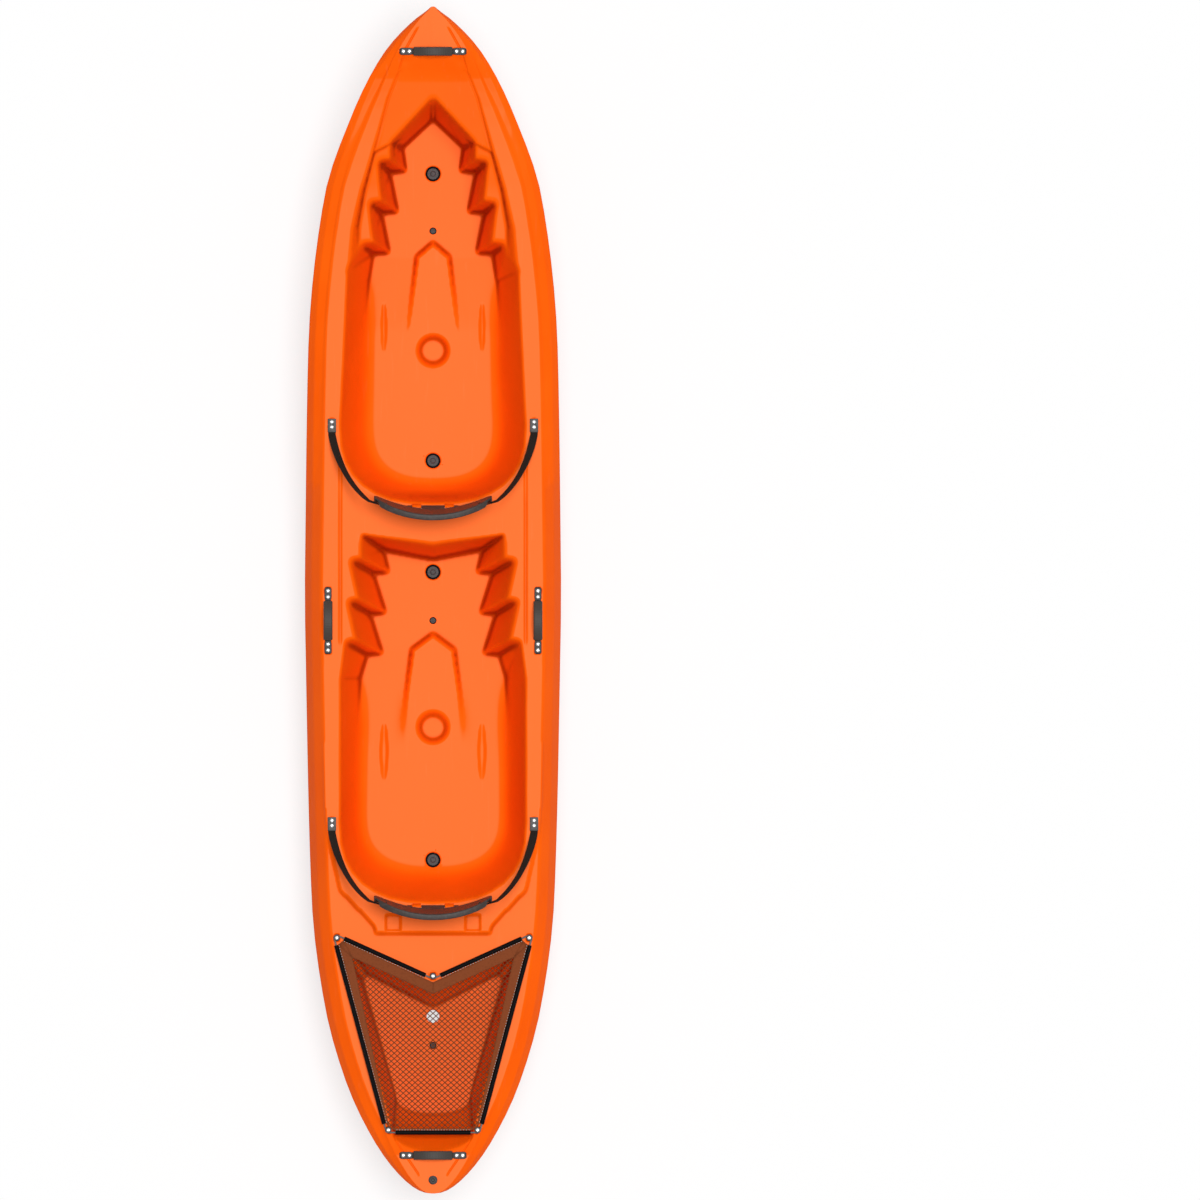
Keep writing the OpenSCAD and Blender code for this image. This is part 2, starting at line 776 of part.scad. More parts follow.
module backrest() {
    color([0.29, 0.27, 0.26])
        difference() {
            union() {
                intersection() {
                    curved_wall(backrest_curve, backrest_curve + backrest_t);
                    extruded_back()
                        union() {
                            polygon(oval(backrest_width / 2, panel_half, panel_mid));
                            translate([-tongue_half, 0])
                                square([2 * tongue_half, panel_mid]);
                        }
                }
                intersection() {
                    curved_wall(backrest_curve, backrest_curve + backrest_flange);
                    extruded_back()
                        difference() {
                            polygon(oval(backrest_width / 2, panel_half, panel_mid));
                            polygon(oval(backrest_width / 2 - backrest_t, panel_half - backrest_t, panel_mid));
                        }
                }
                translate([-tongue_half, 0, 0])
                    rotate([0, 90, 0])
                        cylinder(h = 2 * tongue_half, r = knuckle_r);
                for (s = [-1, 1])
                    translate([s * (outer_knuckle + knuckle_width / 2), 0, 0]) {
                        rotate([0, 90, 0])
                            cylinder(h = knuckle_width, r = knuckle_r, center = true);
                        translate([-knuckle_width / 2, -knuckle_r + 2, 0])
                            cube([knuckle_width, knuckle_r + 5, panel_low + 24]);
                    }
            }
            rotate([0, 90, 0])
                cylinder(h = backrest_width, r = pin_r + running_gap, center = true);
            for (s = [-1, 1])
                on_curve(s * slot_angle, backrest_curve + backrest_t / 2)
                    translate([0, 0, slot_height])
                        cube([5, 3 * backrest_t, webbing_width + 6], center = true);
            intersection() {
                curved_wall(backrest_curve + backrest_t, backrest_curve + backrest_flange + eps);
                translate([0, 0, slot_height])
                    cube([2 * backrest_width, backrest_curve, webbing_width + 8], center = true);
            }
        }
}
module hinge_pin() {
    reach = outer_knuckle + knuckle_width + 2;
    color("silver")
        rotate([0, 90, 0]) {
            cylinder(h = 2 * reach, r = pin_r, center = true);
            for (s = [-1, 1])
                translate([0, 0, s * (reach + 1)])
                    cylinder(h = 3, r = pin_r + 2, center = true);
        }
}
buckle_t = 4;
module buckles() {
    color("black")
        for (s = [-1, 1])
            on_curve(s * slot_angle, backrest_curve + backrest_t + fit_gap / 3 + buckle_t / 2)
                translate([0, 0, slot_height])
                    difference() {
                        cube([20, buckle_t, webbing_width + 8], center = true);
                        for (d = [-5, 5])
                            translate([d, 0, 0])
                                cube([4, 2 * buckle_t, webbing_width + 2], center = true);
                    }
}
module front_backrest() { leaning(front_pivot) backrest(); }
module rear_backrest() { leaning(rear_pivot) backrest(); }
module front_hinge_pin() { leaning(front_pivot) hinge_pin(); }
module rear_hinge_pin() { leaning(rear_pivot) hinge_pin(); }
module front_strap_buckles() { leaning(front_pivot) buckles(); }
module rear_strap_buckles() { leaning(rear_pivot) buckles(); }

// Strap from its anchor's pocket up to the buckle behind the backrest's wing. It lies
// flat at the anchor and stands on edge at the buckle.
function leaned(pivot, p) = pivot + [
    p[0],
    p[1] * cos(backrest_lean) - p[2] * sin(backrest_lean),
    p[1] * sin(backrest_lean) + p[2] * cos(backrest_lean)
];
buckle_back = backrest_curve + backrest_t + buckle_t + webbing_t + fit_gap / 2;
function strap_end(pivot, angle, out) = leaned(pivot, [
    (buckle_back + out) * sin(angle),
    backrest_curve - (buckle_back + out) * cos(angle),
    slot_height
]);
function bezier(a, b, c, d, t) =
    a * pow(1 - t, 3) + 3 * b * t * pow(1 - t, 2) + 3 * c * t * t * (1 - t) + d * pow(t, 3);
strap_steps = 16;
off_anchor = [-0.15, -0.85, 0.45];
off_wing = [0.7, 0.55, -0.35];
module strap(pivot, anchor_y) {
    start = [anchor_x, anchor_y - anchor_length / 2 + pocket - 1, gunwale_height + 1 + fit_gap + webbing_t / 2];
    leave = start - [0, pocket + 6, 0];
    finish = strap_end(pivot, slot_angle - 1, 0);
    wing = strap_end(pivot, asin((backrest_width / 2 + 12) / buckle_back), 9);
    reach = norm(wing - leave) / 3;
    route = concat(
        [start, start - [0, pocket / 2, 0]],
        [
            for (i = [0:strap_steps])
            bezier(leave, leave + reach * off_anchor, wing + reach * off_wing, wing, i / strap_steps)
        ],
        [mix(wing, finish, 0.5), finish]
    );
    n = len(route);
    rings = [
        for (i = [0:n - 1])
        let (
            along = unit(route[min(n - 1, i + 1)] - route[max(0, i - 1)]),
            turn = min(1, max(0, (i - 4) / strap_steps)),
            wide0 = [cos(90 * turn), 0, sin(90 * turn)],
            wide = unit(wide0 - along * (wide0 * along)) * webbing_width / 2,
            thick = unit(cross(along, wide)) * webbing_t / 2
        )
        [route[i] - wide - thick, route[i] - wide + thick, route[i] + wide + thick, route[i] + wide - thick]
    ];
    color([0.16, 0.13, 0.12])
        skin(rings, route[0], route[n - 1]);
}
module front_port_strap() { mirror([1, 0, 0]) strap(front_pivot, front_anchor_y); }
module front_starboard_strap() { strap(front_pivot, front_anchor_y); }
module rear_port_strap() { mirror([1, 0, 0]) strap(rear_pivot, rear_anchor_y); }
module rear_starboard_strap() { strap(rear_pivot, rear_anchor_y); }

// Scupper plugs and bungs, turned shapes that pull straight up
plug_length = 46;
module scupper_plug(s) {
    r = scupper_r - fit_gap;
    color([0.24, 0.23, 0.24])
        translate([0, s[0], s[1] - plug_seat])
            rotate_extrude()
                polygon([
                    [0, -plug_length], [r - 4, -plug_length], [r, -plug_length + 6], [r, 0],
                    [plug_head_r, 0], [plug_head_r, plug_head_t - 1], [plug_head_r - 1, plug_head_t],
                    [plug_head_r - 4, plug_head_t], [plug_head_r - 8, plug_head_t - 3],
                    [6, plug_head_t - 3], [4, plug_head_t + 1], [0, plug_head_t + 2]
                ]);
}
bung_t = 4;
module bung(b) {
    r = bung_hole_r - fit_gap;
    color([0.25, 0.24, 0.26])
        translate([0, b[0], b[1]])
            rotate_extrude()
                polygon([
                    [0, -12], [r - 2, -12], [r, -9], [r, 0], [bung_head_r, 0],
                    [bung_head_r, bung_t - 1.5], [bung_head_r - 1.5, bung_t],
                    [4, bung_t], [3, bung_t - 1], [0, bung_t - 1]
                ]);
}
module front_foot_scupper_plug() { scupper_plug(scuppers[0]); }
module front_seat_scupper_plug() { scupper_plug(scuppers[1]); }
module rear_foot_scupper_plug() { scupper_plug(scuppers[2]); }
module rear_seat_scupper_plug() { scupper_plug(scuppers[3]); }
module front_bung() { bung(bungs[0]); }
module rear_bung() { bung(bungs[1]); }
module cargo_bung() { bung(bungs[2]); }

// Stern drain: a flanged bush in the deck, a sealing ring and a screw plug
flange_t = 3;
drain_thread_r = drain_bore_r - 2.5;
seal_r = 1.2;
knob_t = 8;
module at_drain() { translate([0, drain_y, stern_height]) children(); }
module drain_bush() {
    color("black")
        at_drain()
            difference() {
                union() {
                    cylinder(h = flange_t, r = drain_flange_r);
                    translate([0, 0, -4 * wall])
                        cylinder(h = 4 * wall + eps, r = drain_bore_r - fit_gap);
                }
                translate([0, 0, -4 * wall - eps])
                    cylinder(h = 4 * wall + flange_t + 2 * eps, r = drain_thread_r);
            }
}
module drain_seal() {
    color("dimgray")
        at_drain()
            translate([0, 0, flange_t + seal_r])
                rotate_extrude()
                    translate([drain_thread_r + seal_r + 0.2, 0])
                        circle(r = seal_r, $fn = 24);
}
module drain_plug() {
    color([0.2, 0.2, 0.22])
        at_drain() {
            translate([0, 0, -3 * wall])
                cylinder(h = 3 * wall + flange_t + 2 * seal_r + eps, r = drain_thread_r - fit_gap);
            translate([0, 0, flange_t + 2 * seal_r]) {
                cylinder(h = knob_t - 4, r = drain_flange_r - 2.5);
                for (a = [0:45:179])
                    rotate([0, 0, a])
                        translate([0, 0, knob_t / 2])
                            cube([2 * drain_flange_r - 7, 4, knob_t], center = true);
            }
        }
}

// Cargo net: five buttons, an edge cord round them, sleeves on its runs and the net
cord_z = 7;
waist_r = 5;
loop_r = waist_r + cord_r + fit_gap;
tilt = atan(net_rate);
cord_base = [0, net_front_y, net_low + cord_z];
stretch = 1 / cos(tilt);
module in_net_plane() { translate(cord_base) rotate([tilt, 0, 0]) children(); }
function in_plane(p) = [p[0], (p[1] - net_front_y) * stretch];
eyes = [for (p = buttons) in_plane(p)];
sides = [1, -1, 1, 1, 1];
count = len(eyes);

// Angles at which the cord leaves one button and meets the next
function heading(a, b) = atan2(b[1] - a[1], b[0] - a[0]);
function leave_angle(i) =
    let (k = (i + 1) % count, h = heading(eyes[i], eyes[k]))
    sides[i] == sides[k] ? h + 90 * sides[i] :
    h + sides[i] * acos(2 * loop_r / norm(eyes[k] - eyes[i]));
function meet_angle(i) =
    let (j = (i + count - 1) % count, h = heading(eyes[j], eyes[i]))
    sides[i] == sides[j] ? h + 90 * sides[i] :
    h + 180 + sides[j] * acos(2 * loop_r / norm(eyes[i] - eyes[j]));
function around(i, angle) = eyes[i] + loop_r * [cos(angle), sin(angle)];
function swing(i) =
    let (turn = leave_angle(i) - meet_angle(i))
    sides[i] > 0 ? -((360 - turn % 360) % 360) : (turn % 360 + 360) % 360;
arc_steps = 6;
cord_route = [
    for (i = [0:count - 1], k = [0:arc_steps])
    around(i, meet_angle(i) + swing(i) * k / arc_steps)
];
runs = [for (i = [0:count - 1]) [around(i, leave_angle(i)), around((i + 1) % count, meet_angle((i + 1) % count))]];
module net_cord() {
    n = len(cord_route);
    ring_sides = 8;
    points = [
        for (i = [0:n - 1])
        let (
            along = unit(cord_route[(i + 1) % n] - cord_route[(i + n - 1) % n]),
            out = [along[1], -along[0]]
        )
        for (k = [0:ring_sides - 1])
        let (a = 360 * k / ring_sides)
        [
            cord_route[i][0] + out[0] * cord_r * cos(a),
            cord_route[i][1] + out[1] * cord_r * cos(a),
            cord_r * sin(a)
        ]
    ];
    faces = [
        for (i = [0:n - 1], k = [0:ring_sides - 1])
        let (
            a = i * ring_sides + k,
            b = i * ring_sides + (k + 1) % ring_sides,
            c = ((i + 1) % n) * ring_sides + k,
            d = ((i + 1) % n) * ring_sides + (k + 1) % ring_sides
        )
        each [[a, b, c], [b, d, c]]
    ];
    color([0.35, 0.33, 0.32])
        in_net_plane()
            polyhedron(points, faces);
}
sleeve_short = button_r + 12;
module net_sleeves() {
    color("black")
        in_net_plane()
            for (r = runs) {
                length = norm(r[1] - r[0]) - 2 * sleeve_short;
                translate([r[0][0], r[0][1], 0])
                    rotate([0, 0, heading(r[0], r[1])])
                        translate([sleeve_short, 0, 0])
                            rotate([0, 90, 0])
                                difference() {
                                    cylinder(h = length, r = sleeve_r);
                                    translate([0, 0, -eps])
                                        cylinder(h = length + 2 * eps, r = cord_r + fit_gap);
                                }
            }
}

// Corners of the net beside the sleeves, and how far a point lies inside a run
net_inset = sleeve_r + fit_gap;
function inward(r) = let (d = unit(r[1] - r[0])) [d[1], -d[0]];
function hem_ends(r) =
    let (d = unit(r[1] - r[0]))
    [
        r[0] + d * sleeve_short + inward(r) * net_inset,
        r[1] - d * sleeve_short + inward(r) * net_inset
    ];
net_edge = concat(
    hem_ends(runs[0]),
    [eyes[1] - [0, button_r + cord_r + net_inset]],
    [for (i = [1:count - 1]) each hem_ends(runs[i])]
);
function inside_run(p, r) = (p - r[0]) * inward(r);
hem = net_inset + 8;
function in_net(p, half_gap) =
    let (need = hem + half_gap, front = p[0] < 0 ? runs[0] : runs[1])
    inside_run(p, front) > need
        && min([for (i = [2:4]) inside_run(p, runs[i])]) > need;
net_pitch = net_gap + net_strand * sqrt(2);
module cargo_net() {
    rows = ceil(cargo_well / net_pitch * 2) + 4;
    columns = ceil(half_beam / net_pitch) + 1;
    color([0.36, 0.2, 0.12])
        in_net_plane()
            translate([0, 0, -net_t / 2])
                resize([0, 0, net_t])
                    linear_extrude(net_t)
                        difference() {
                            polygon(net_edge);
                            for (j = [0:rows], i = [-columns:columns]) {
                                p = [(i + (j % 2) / 2) * net_pitch, -j * net_pitch / 2];
                                if (in_net(p, net_gap / 2 * 0.71))
                                    translate(p)
                                        polygon([
                                            [net_gap / 2, 0], [0, net_gap / 2],
                                            [-net_gap / 2, 0], [0, -net_gap / 2]
                                        ]);
                            }
                        }
}
module net_buttons() {
    color("dimgray")
        at_points(net_points)
            difference() {
                rotate_extrude()
                    polygon([
                        [0, 0], [button_r, 0], [button_r, 3], [waist_r, cord_z - cord_r],
                        [waist_r, cord_z + cord_r], [button_r - 1, 11], [button_r - 1, button_h], [0, button_h]
                    ]);
                translate([0, 0, -eps])
                    cylinder(h = button_h + 2 * eps, r = screw_r + fit_gap);
            }
}

hull_shell();  // hull
bow_handle();
stern_handle();
port_handle();
starboard_handle();
bow_grip();
stern_grip();
port_grip();
starboard_grip();
handle_screws();
strap_screws();
net_screws();
threaded_inserts();
front_strap_anchors();
rear_strap_anchors();
front_port_strap();
front_starboard_strap();
rear_port_strap();
rear_starboard_strap();
front_backrest();
rear_backrest();
front_hinge_pin();
rear_hinge_pin();
front_strap_buckles();
rear_strap_buckles();
front_foot_scupper_plug();
front_seat_scupper_plug();
rear_foot_scupper_plug();
rear_seat_scupper_plug();
front_bung();
rear_bung();
cargo_bung();
drain_bush();
drain_seal();
drain_plug();
cargo_net();
net_sleeves();
net_cord();
net_buttons();
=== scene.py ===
import json
import math

import bmesh
import bpy
import numpy as np
from mathutils import Matrix, Vector
from mathutils.bvhtree import BVHTree
from mathutils.kdtree import KDTree


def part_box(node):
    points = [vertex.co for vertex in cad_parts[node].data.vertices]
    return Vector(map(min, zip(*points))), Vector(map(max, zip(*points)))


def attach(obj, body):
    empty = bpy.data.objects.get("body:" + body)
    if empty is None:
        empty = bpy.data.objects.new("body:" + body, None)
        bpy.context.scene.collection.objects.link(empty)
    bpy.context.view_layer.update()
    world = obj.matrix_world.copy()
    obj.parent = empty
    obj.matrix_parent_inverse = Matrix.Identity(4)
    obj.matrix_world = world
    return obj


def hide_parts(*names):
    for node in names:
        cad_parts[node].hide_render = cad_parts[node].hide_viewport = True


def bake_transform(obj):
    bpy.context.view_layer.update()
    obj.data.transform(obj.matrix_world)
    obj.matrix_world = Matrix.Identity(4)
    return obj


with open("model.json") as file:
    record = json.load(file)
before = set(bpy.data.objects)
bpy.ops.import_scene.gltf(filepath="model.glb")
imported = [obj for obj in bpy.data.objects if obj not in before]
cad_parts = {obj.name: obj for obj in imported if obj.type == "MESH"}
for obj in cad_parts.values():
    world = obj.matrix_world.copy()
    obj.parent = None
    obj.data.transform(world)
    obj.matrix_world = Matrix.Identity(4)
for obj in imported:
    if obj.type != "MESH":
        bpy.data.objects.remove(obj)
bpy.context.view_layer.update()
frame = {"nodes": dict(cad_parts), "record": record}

scene = bpy.context.scene
scene.view_settings.view_transform = "Standard"

# The camera looks straight down, with the bow at the top and the hull left of the middle
viewLook = {"across": 0.5205, "height": 6.0, "width": 3.74}
topCamera = bpy.data.objects.new("topCamera", bpy.data.cameras.new("topCamera"))
topCamera.data.type = "ORTHO"
topCamera.data.ortho_scale = viewLook["width"]
topCamera.location = (viewLook["across"], 0, viewLook["height"])
scene.collection.objects.link(topCamera)
scene.camera = topCamera
print("camera set")


# Node helpers: an input that is given a socket is linked to it, and any other value is set on it
def setInput(tree, socket, value):
    if isinstance(value, bpy.types.NodeSocket):
        tree.links.new(value, socket)
    else:
        socket.default_value = value


def addNode(tree, kind, **values):
    node = tree.nodes.new(kind)
    for key, value in values.items():
        if hasattr(node, key):
            setattr(node, key, value)
        else:
            setInput(tree, node.inputs[key], value)
    return node


def mathNode(tree, operation, *values, **settings):
    node = addNode(tree, "ShaderNodeMath", operation=operation, **settings)
    for socket, value in zip(node.inputs, values):
        setInput(tree, socket, value)
    return node.outputs[0]


# An input of a group is a colour, a number or, where no value is given, a vector
def makeGroup(name, inputs):
    tree = bpy.data.node_groups.new(name, "ShaderNodeTree")
    kinds = {tuple: "NodeSocketColor", float: "NodeSocketFloat"}
    for label, value in inputs.items():
        kind = kinds.get(type(value), "NodeSocketVector")
        socket = tree.interface.new_socket(label, in_out="INPUT", socket_type=kind)
        if value is not None:
            socket.default_value = value
    for label, kind in (("Colour", tuple), ("Roughness", float), ("Height", float)):
        tree.interface.new_socket(label, in_out="OUTPUT", socket_type=kinds[kind])
    return tree, tree.nodes.new("NodeGroupInput").outputs, tree.nodes.new("NodeGroupOutput").inputs


def rampNode(tree, factor, low, high):
    ramp = addNode(tree, "ShaderNodeValToRGB", Fac=factor)
    ramp.color_ramp.elements[0].position = low
    ramp.color_ramp.elements[1].position = high
    return ramp.outputs[0]


def mixColours(tree, factor, first, second):
    node = addNode(tree, "ShaderNodeMix", data_type="RGBA")
    for place, value in ((0, factor), (6, first), (7, second)):
        setInput(tree, node.inputs[place], value)
    return node.outputs[2]


def mixShaders(tree, factor, first, second, output):
    mix = addNode(tree, "ShaderNodeMixShader", Fac=factor)
    tree.links.new(first.outputs[0], mix.inputs[1])
    tree.links.new(second.outputs[0], mix.inputs[2])
    tree.links.new(mix.outputs[0], tree.nodes[output].inputs["Surface"])


# Moulded skin: cloudy colour, paler where it lies level as a painted sheen, fine pebble grain, and painted
# shade in the creases
def buildMouldedSkin():
    tree, given, out = makeGroup("mouldedSkin", {
        "Colour": (0.9, 0.1, 0.0, 1), "Deep Colour": (0.7, 0.06, 0.0, 1), "Cloud Scale": 6.0,
        "Grain Scale": 900.0, "Roughness": 0.4, "Scuff": 0.2, "Painted Shade": 0.0,
        "Crease Colour": (0.5, 0.04, 0.0, 1), "Bleached Colour": (0.9, 0.15, 0.02, 1),
        "Bleach Start": 0.98, "Bleach End": 0.996})
    scratchStretch, scratchColour, cloudRoughness = (90.0, 7.0, 90.0), (1.0, 0.55, 0.32, 1), 0.12
    place = addNode(tree, "ShaderNodeTexCoord").outputs
    spot = place["Object"]
    cloud = addNode(tree, "ShaderNodeTexNoise", Detail=4.0, Vector=spot, Scale=given["Cloud Scale"])
    grain = addNode(tree, "ShaderNodeTexNoise", Detail=2.0, Vector=spot, Scale=given["Grain Scale"])
    # Scuffs are thin scratches, stretched along the hull
    along = addNode(tree, "ShaderNodeMapping", Vector=spot, Scale=scratchStretch)
    scratch = addNode(tree, "ShaderNodeTexNoise", Scale=1.0, Detail=5.0, Vector=along.outputs[0])
    thin = rampNode(tree, scratch.outputs["Fac"], 0.62, 0.74)
    scuffed = mathNode(tree, "MULTIPLY", thin, given["Scuff"])
    cloudy = rampNode(tree, cloud.outputs["Fac"], 0.3, 0.72)
    colour = mixColours(tree, cloudy, given["Deep Colour"], given["Colour"])
    # Painted sheen: faces that look straight up get a paler colour, as an overhead light's sheen would give
    # them
    facing = addNode(tree, "ShaderNodeSeparateXYZ", Vector=place["Normal"])
    level = addNode(tree, "ShaderNodeMapRange", interpolation_type="SMOOTHSTEP", Value=facing.outputs["Z"],
                    **{"From Min": given["Bleach Start"], "From Max": given["Bleach End"]})
    withPaintedSheen = mixColours(tree, level.outputs[0], colour, given["Bleached Colour"])
    paler = mixColours(tree, scuffed, withPaintedSheen, scratchColour)
    # Painted shade: the creases are darkened towards the crease colour by the crease shares
    tree.links.new(mixColours(tree, given["Painted Shade"], paler, given["Crease Colour"]), out["Colour"])
    rough = mathNode(tree, "MULTIPLY_ADD", cloud.outputs["Fac"], cloudRoughness, given["Roughness"])
    tree.links.new(rough, out["Roughness"])
    tree.links.new(grain.outputs["Fac"], out["Height"])
    return tree


# Grained plastic or rubber: flecks of a second colour over a fine pebble
def buildFleckedGrain():
    tree, given, out = makeGroup("fleckedGrain", {
        "Colour": (0.05, 0.05, 0.05, 1), "Fleck Colour": (0.2, 0.2, 0.2, 1), "Grain Scale": 1200.0,
        "Fleck Scale": 500.0, "Fleck Amount": 0.2, "Roughness": 0.5})
    fleckRoughness = 0.15
    place = addNode(tree, "ShaderNodeTexCoord").outputs["Object"]
    grain = addNode(tree, "ShaderNodeTexVoronoi", Vector=place, Scale=given["Grain Scale"])
    fleck = addNode(tree, "ShaderNodeTexNoise", Detail=3.0, Vector=place, Scale=given["Fleck Scale"])
    flecked = rampNode(tree, fleck.outputs["Fac"], 0.5, 0.66)
    share = mathNode(tree, "MULTIPLY", flecked, given["Fleck Amount"])
    tree.links.new(mixColours(tree, share, given["Colour"], given["Fleck Colour"]), out["Colour"])
    rough = mathNode(tree, "MULTIPLY_ADD", fleck.outputs["Fac"], fleckRoughness, given["Roughness"])
    tree.links.new(rough, out["Roughness"])
    tree.links.new(grain.outputs["Distance"], out["Height"])
    return tree


# Plain weave over the yarnMap of a strap or cord, in yarns along and across
def buildPlainWeave():
    tree, given, out = makeGroup("plainWeave", {
        "Vector": None, "Light Yarn": (0.1, 0.08, 0.07, 1), "Dark Yarn": (0.02, 0.015, 0.012, 1),
        "Yarns": 700.0})
    edgeRoughness, crownChange = 0.9, -0.2
    scaled = addNode(tree, "ShaderNodeVectorMath", operation="SCALE", Vector=given["Vector"],
                     Scale=given["Yarns"]).outputs[0]
    checks = addNode(tree, "ShaderNodeTexChecker", Scale=1.0, Vector=scaled)
    split = addNode(tree, "ShaderNodeSeparateXYZ", Vector=scaled)
    yarn = addNode(tree, "ShaderNodeMix", data_type="FLOAT")
    tree.links.new(checks.outputs["Fac"], yarn.inputs[0])
    for axis in (0, 1):
        wave = mathNode(tree, "SINE", mathNode(tree, "MULTIPLY", split.outputs[axis], math.pi))
        tree.links.new(mathNode(tree, "ABSOLUTE", wave), yarn.inputs[2 + axis])
    crown = yarn.outputs[0]
    tree.links.new(crown, out["Height"])
    tree.links.new(mixColours(tree, crown, given["Dark Yarn"], given["Light Yarn"]), out["Colour"])
    tree.links.new(mathNode(tree, "MULTIPLY_ADD", crown, crownChange, edgeRoughness), out["Roughness"])
    return tree


mouldedSkin = buildMouldedSkin()
fleckedGrain = buildFleckedGrain()
plainWeave = buildPlainWeave()


def finishMaterial(name, group, values, bumpDepth, bumpStrength, yarnMap=False, paintedShadeMap=False, **surface):
    material = bpy.data.materials.new(name)
    material.use_nodes = True
    tree = material.node_tree
    shader = tree.nodes["Principled BSDF"]
    effect = addNode(tree, "ShaderNodeGroup", node_tree=group)
    for key, value in values.items():
        effect.inputs[key].default_value = value
    if yarnMap:
        place = addNode(tree, "ShaderNodeUVMap", uv_map="yarnMap")
        tree.links.new(place.outputs[0], effect.inputs["Vector"])
    # Painted shade in the creases, read from a point attribute of the mesh
    if paintedShadeMap:
        creases = addNode(tree, "ShaderNodeAttribute", attribute_name="paintedShade")
        tree.links.new(creases.outputs["Fac"], effect.inputs["Painted Shade"])
    tree.links.new(effect.outputs["Colour"], shader.inputs["Base Color"])
    tree.links.new(effect.outputs["Roughness"], shader.inputs["Roughness"])
    bump = addNode(tree, "ShaderNodeBump", Strength=bumpStrength, Distance=bumpDepth,
                   Height=effect.outputs["Height"])
    tree.links.new(bump.outputs[0], shader.inputs["Normal"])
    for key, value in surface.items():
        shader.inputs[key.replace("_", " ")].default_value = value
    return material


skinLook = {"Colour": (0.92, 0.112, 0.002, 1), "Deep Colour": (0.88, 0.098, 0.001, 1), "Cloud Scale": 5.0,
            # the crease colour is painted shade for the creases
            "Grain Scale": 700.0, "Roughness": 0.52, "Scuff": 0.02, "Crease Colour": (0.42, 0.034, 0.001, 1),
            # the bleached colour is a painted sheen on level faces
            "Bleached Colour": (0.945, 0.156, 0.029, 1), "Bleach Start": 0.978, "Bleach End": 0.9995}
hullOrange = finishMaterial(
    "hullOrange", mouldedSkin, skinLook, 0.0004, 0.25, paintedShadeMap=True, Specular_IOR_Level=0.035)
bandBlack = finishMaterial(
    "bandBlack", fleckedGrain,
    {"Colour": (0.028, 0.026, 0.026, 1), "Fleck Colour": (0.06, 0.056, 0.054, 1), "Roughness": 0.42},
    0.0002, 0.3, Specular_IOR_Level=0.25)
gripGrey = finishMaterial(
    "gripGrey", fleckedGrain,
    {"Colour": (0.05, 0.042, 0.037, 1), "Fleck Colour": (0.09, 0.08, 0.072, 1), "Grain Scale": 800.0,
     "Roughness": 0.5}, 0.0004, 0.5, Specular_IOR_Level=0.25)
fittingBlack = finishMaterial(
    "fittingBlack", fleckedGrain,
    {"Colour": (0.04, 0.037, 0.036, 1), "Fleck Colour": (0.08, 0.075, 0.07, 1), "Roughness": 0.4},
    0.0002, 0.3, Specular_IOR_Level=0.3)
backrestBrown = finishMaterial(
    "backrestBrown", fleckedGrain,
    {"Colour": (0.042, 0.034, 0.031, 1), "Fleck Colour": (0.085, 0.075, 0.07, 1), "Grain Scale": 650.0,
     "Fleck Scale": 90.0, "Fleck Amount": 0.35, "Roughness": 0.42}, 0.0004, 0.5, Specular_IOR_Level=0.25)
plugRubber = finishMaterial(
    "plugRubber", fleckedGrain,
    {"Colour": (0.03, 0.029, 0.03, 1), "Fleck Colour": (0.1, 0.1, 0.104, 1), "Grain Scale": 900.0,
     "Fleck Scale": 420.0, "Fleck Amount": 0.8, "Roughness": 0.6}, 0.0003, 0.5)
sleeveBlack = finishMaterial(
    "sleeveBlack", fleckedGrain,
    {"Colour": (0.002, 0.002, 0.0025, 1), "Fleck Colour": (0.007, 0.007, 0.0075, 1), "Roughness": 0.6},
    0.0002, 0.4, Specular_IOR_Level=0.08)
netBrown = finishMaterial(
    "netBrown", fleckedGrain,
    {"Colour": (0.14, 0.043, 0.015, 1), "Fleck Colour": (0.18, 0.066, 0.026, 1), "Grain Scale": 1500.0,
     "Roughness": 0.8}, 0.0003, 0.6, Specular_IOR_Level=0.1)
# Hem: brown cloth band that also stands in for painted shade of the well walls seen through the net
hemAndShadeBrown = finishMaterial(
    "hemAndShadeBrown", fleckedGrain,
    {"Colour": (0.20, 0.050, 0.016, 1), "Fleck Colour": (0.15, 0.037, 0.012, 1), "Grain Scale": 1200.0,
     "Fleck Scale": 160.0, "Fleck Amount": 0.5, "Roughness": 0.85}, 0.0003, 0.6, Specular_IOR_Level=0.1)
stitchThread = finishMaterial(
    "stitchThread", fleckedGrain,
    {"Colour": (0.6, 0.58, 0.55, 1), "Fleck Colour": (0.75, 0.74, 0.72, 1), "Roughness": 0.7}, 0.0002, 0.4)
strapWebbing = finishMaterial(
    "strapWebbing", plainWeave,
    {"Light Yarn": (0.026, 0.018, 0.014, 1), "Dark Yarn": (0.003, 0.002, 0.0015, 1), "Yarns": 420.0},
    0.0008, 0.9, yarnMap=True, Specular_IOR_Level=0.15)
edgeBungee = finishMaterial(
    "edgeBungee", plainWeave,
    {"Light Yarn": (0.2, 0.19, 0.18, 1), "Dark Yarn": (0.04, 0.036, 0.034, 1), "Yarns": 600.0},
    0.0005, 0.8, yarnMap=True)
screwSteel = finishMaterial(
    "screwSteel", fleckedGrain,
    {"Colour": (0.86, 0.86, 0.86, 1), "Fleck Colour": (0.7, 0.7, 0.7, 1), "Fleck Amount": 0.4,
     "Roughness": 0.28}, 0.0001, 0.15, Metallic=1.0)
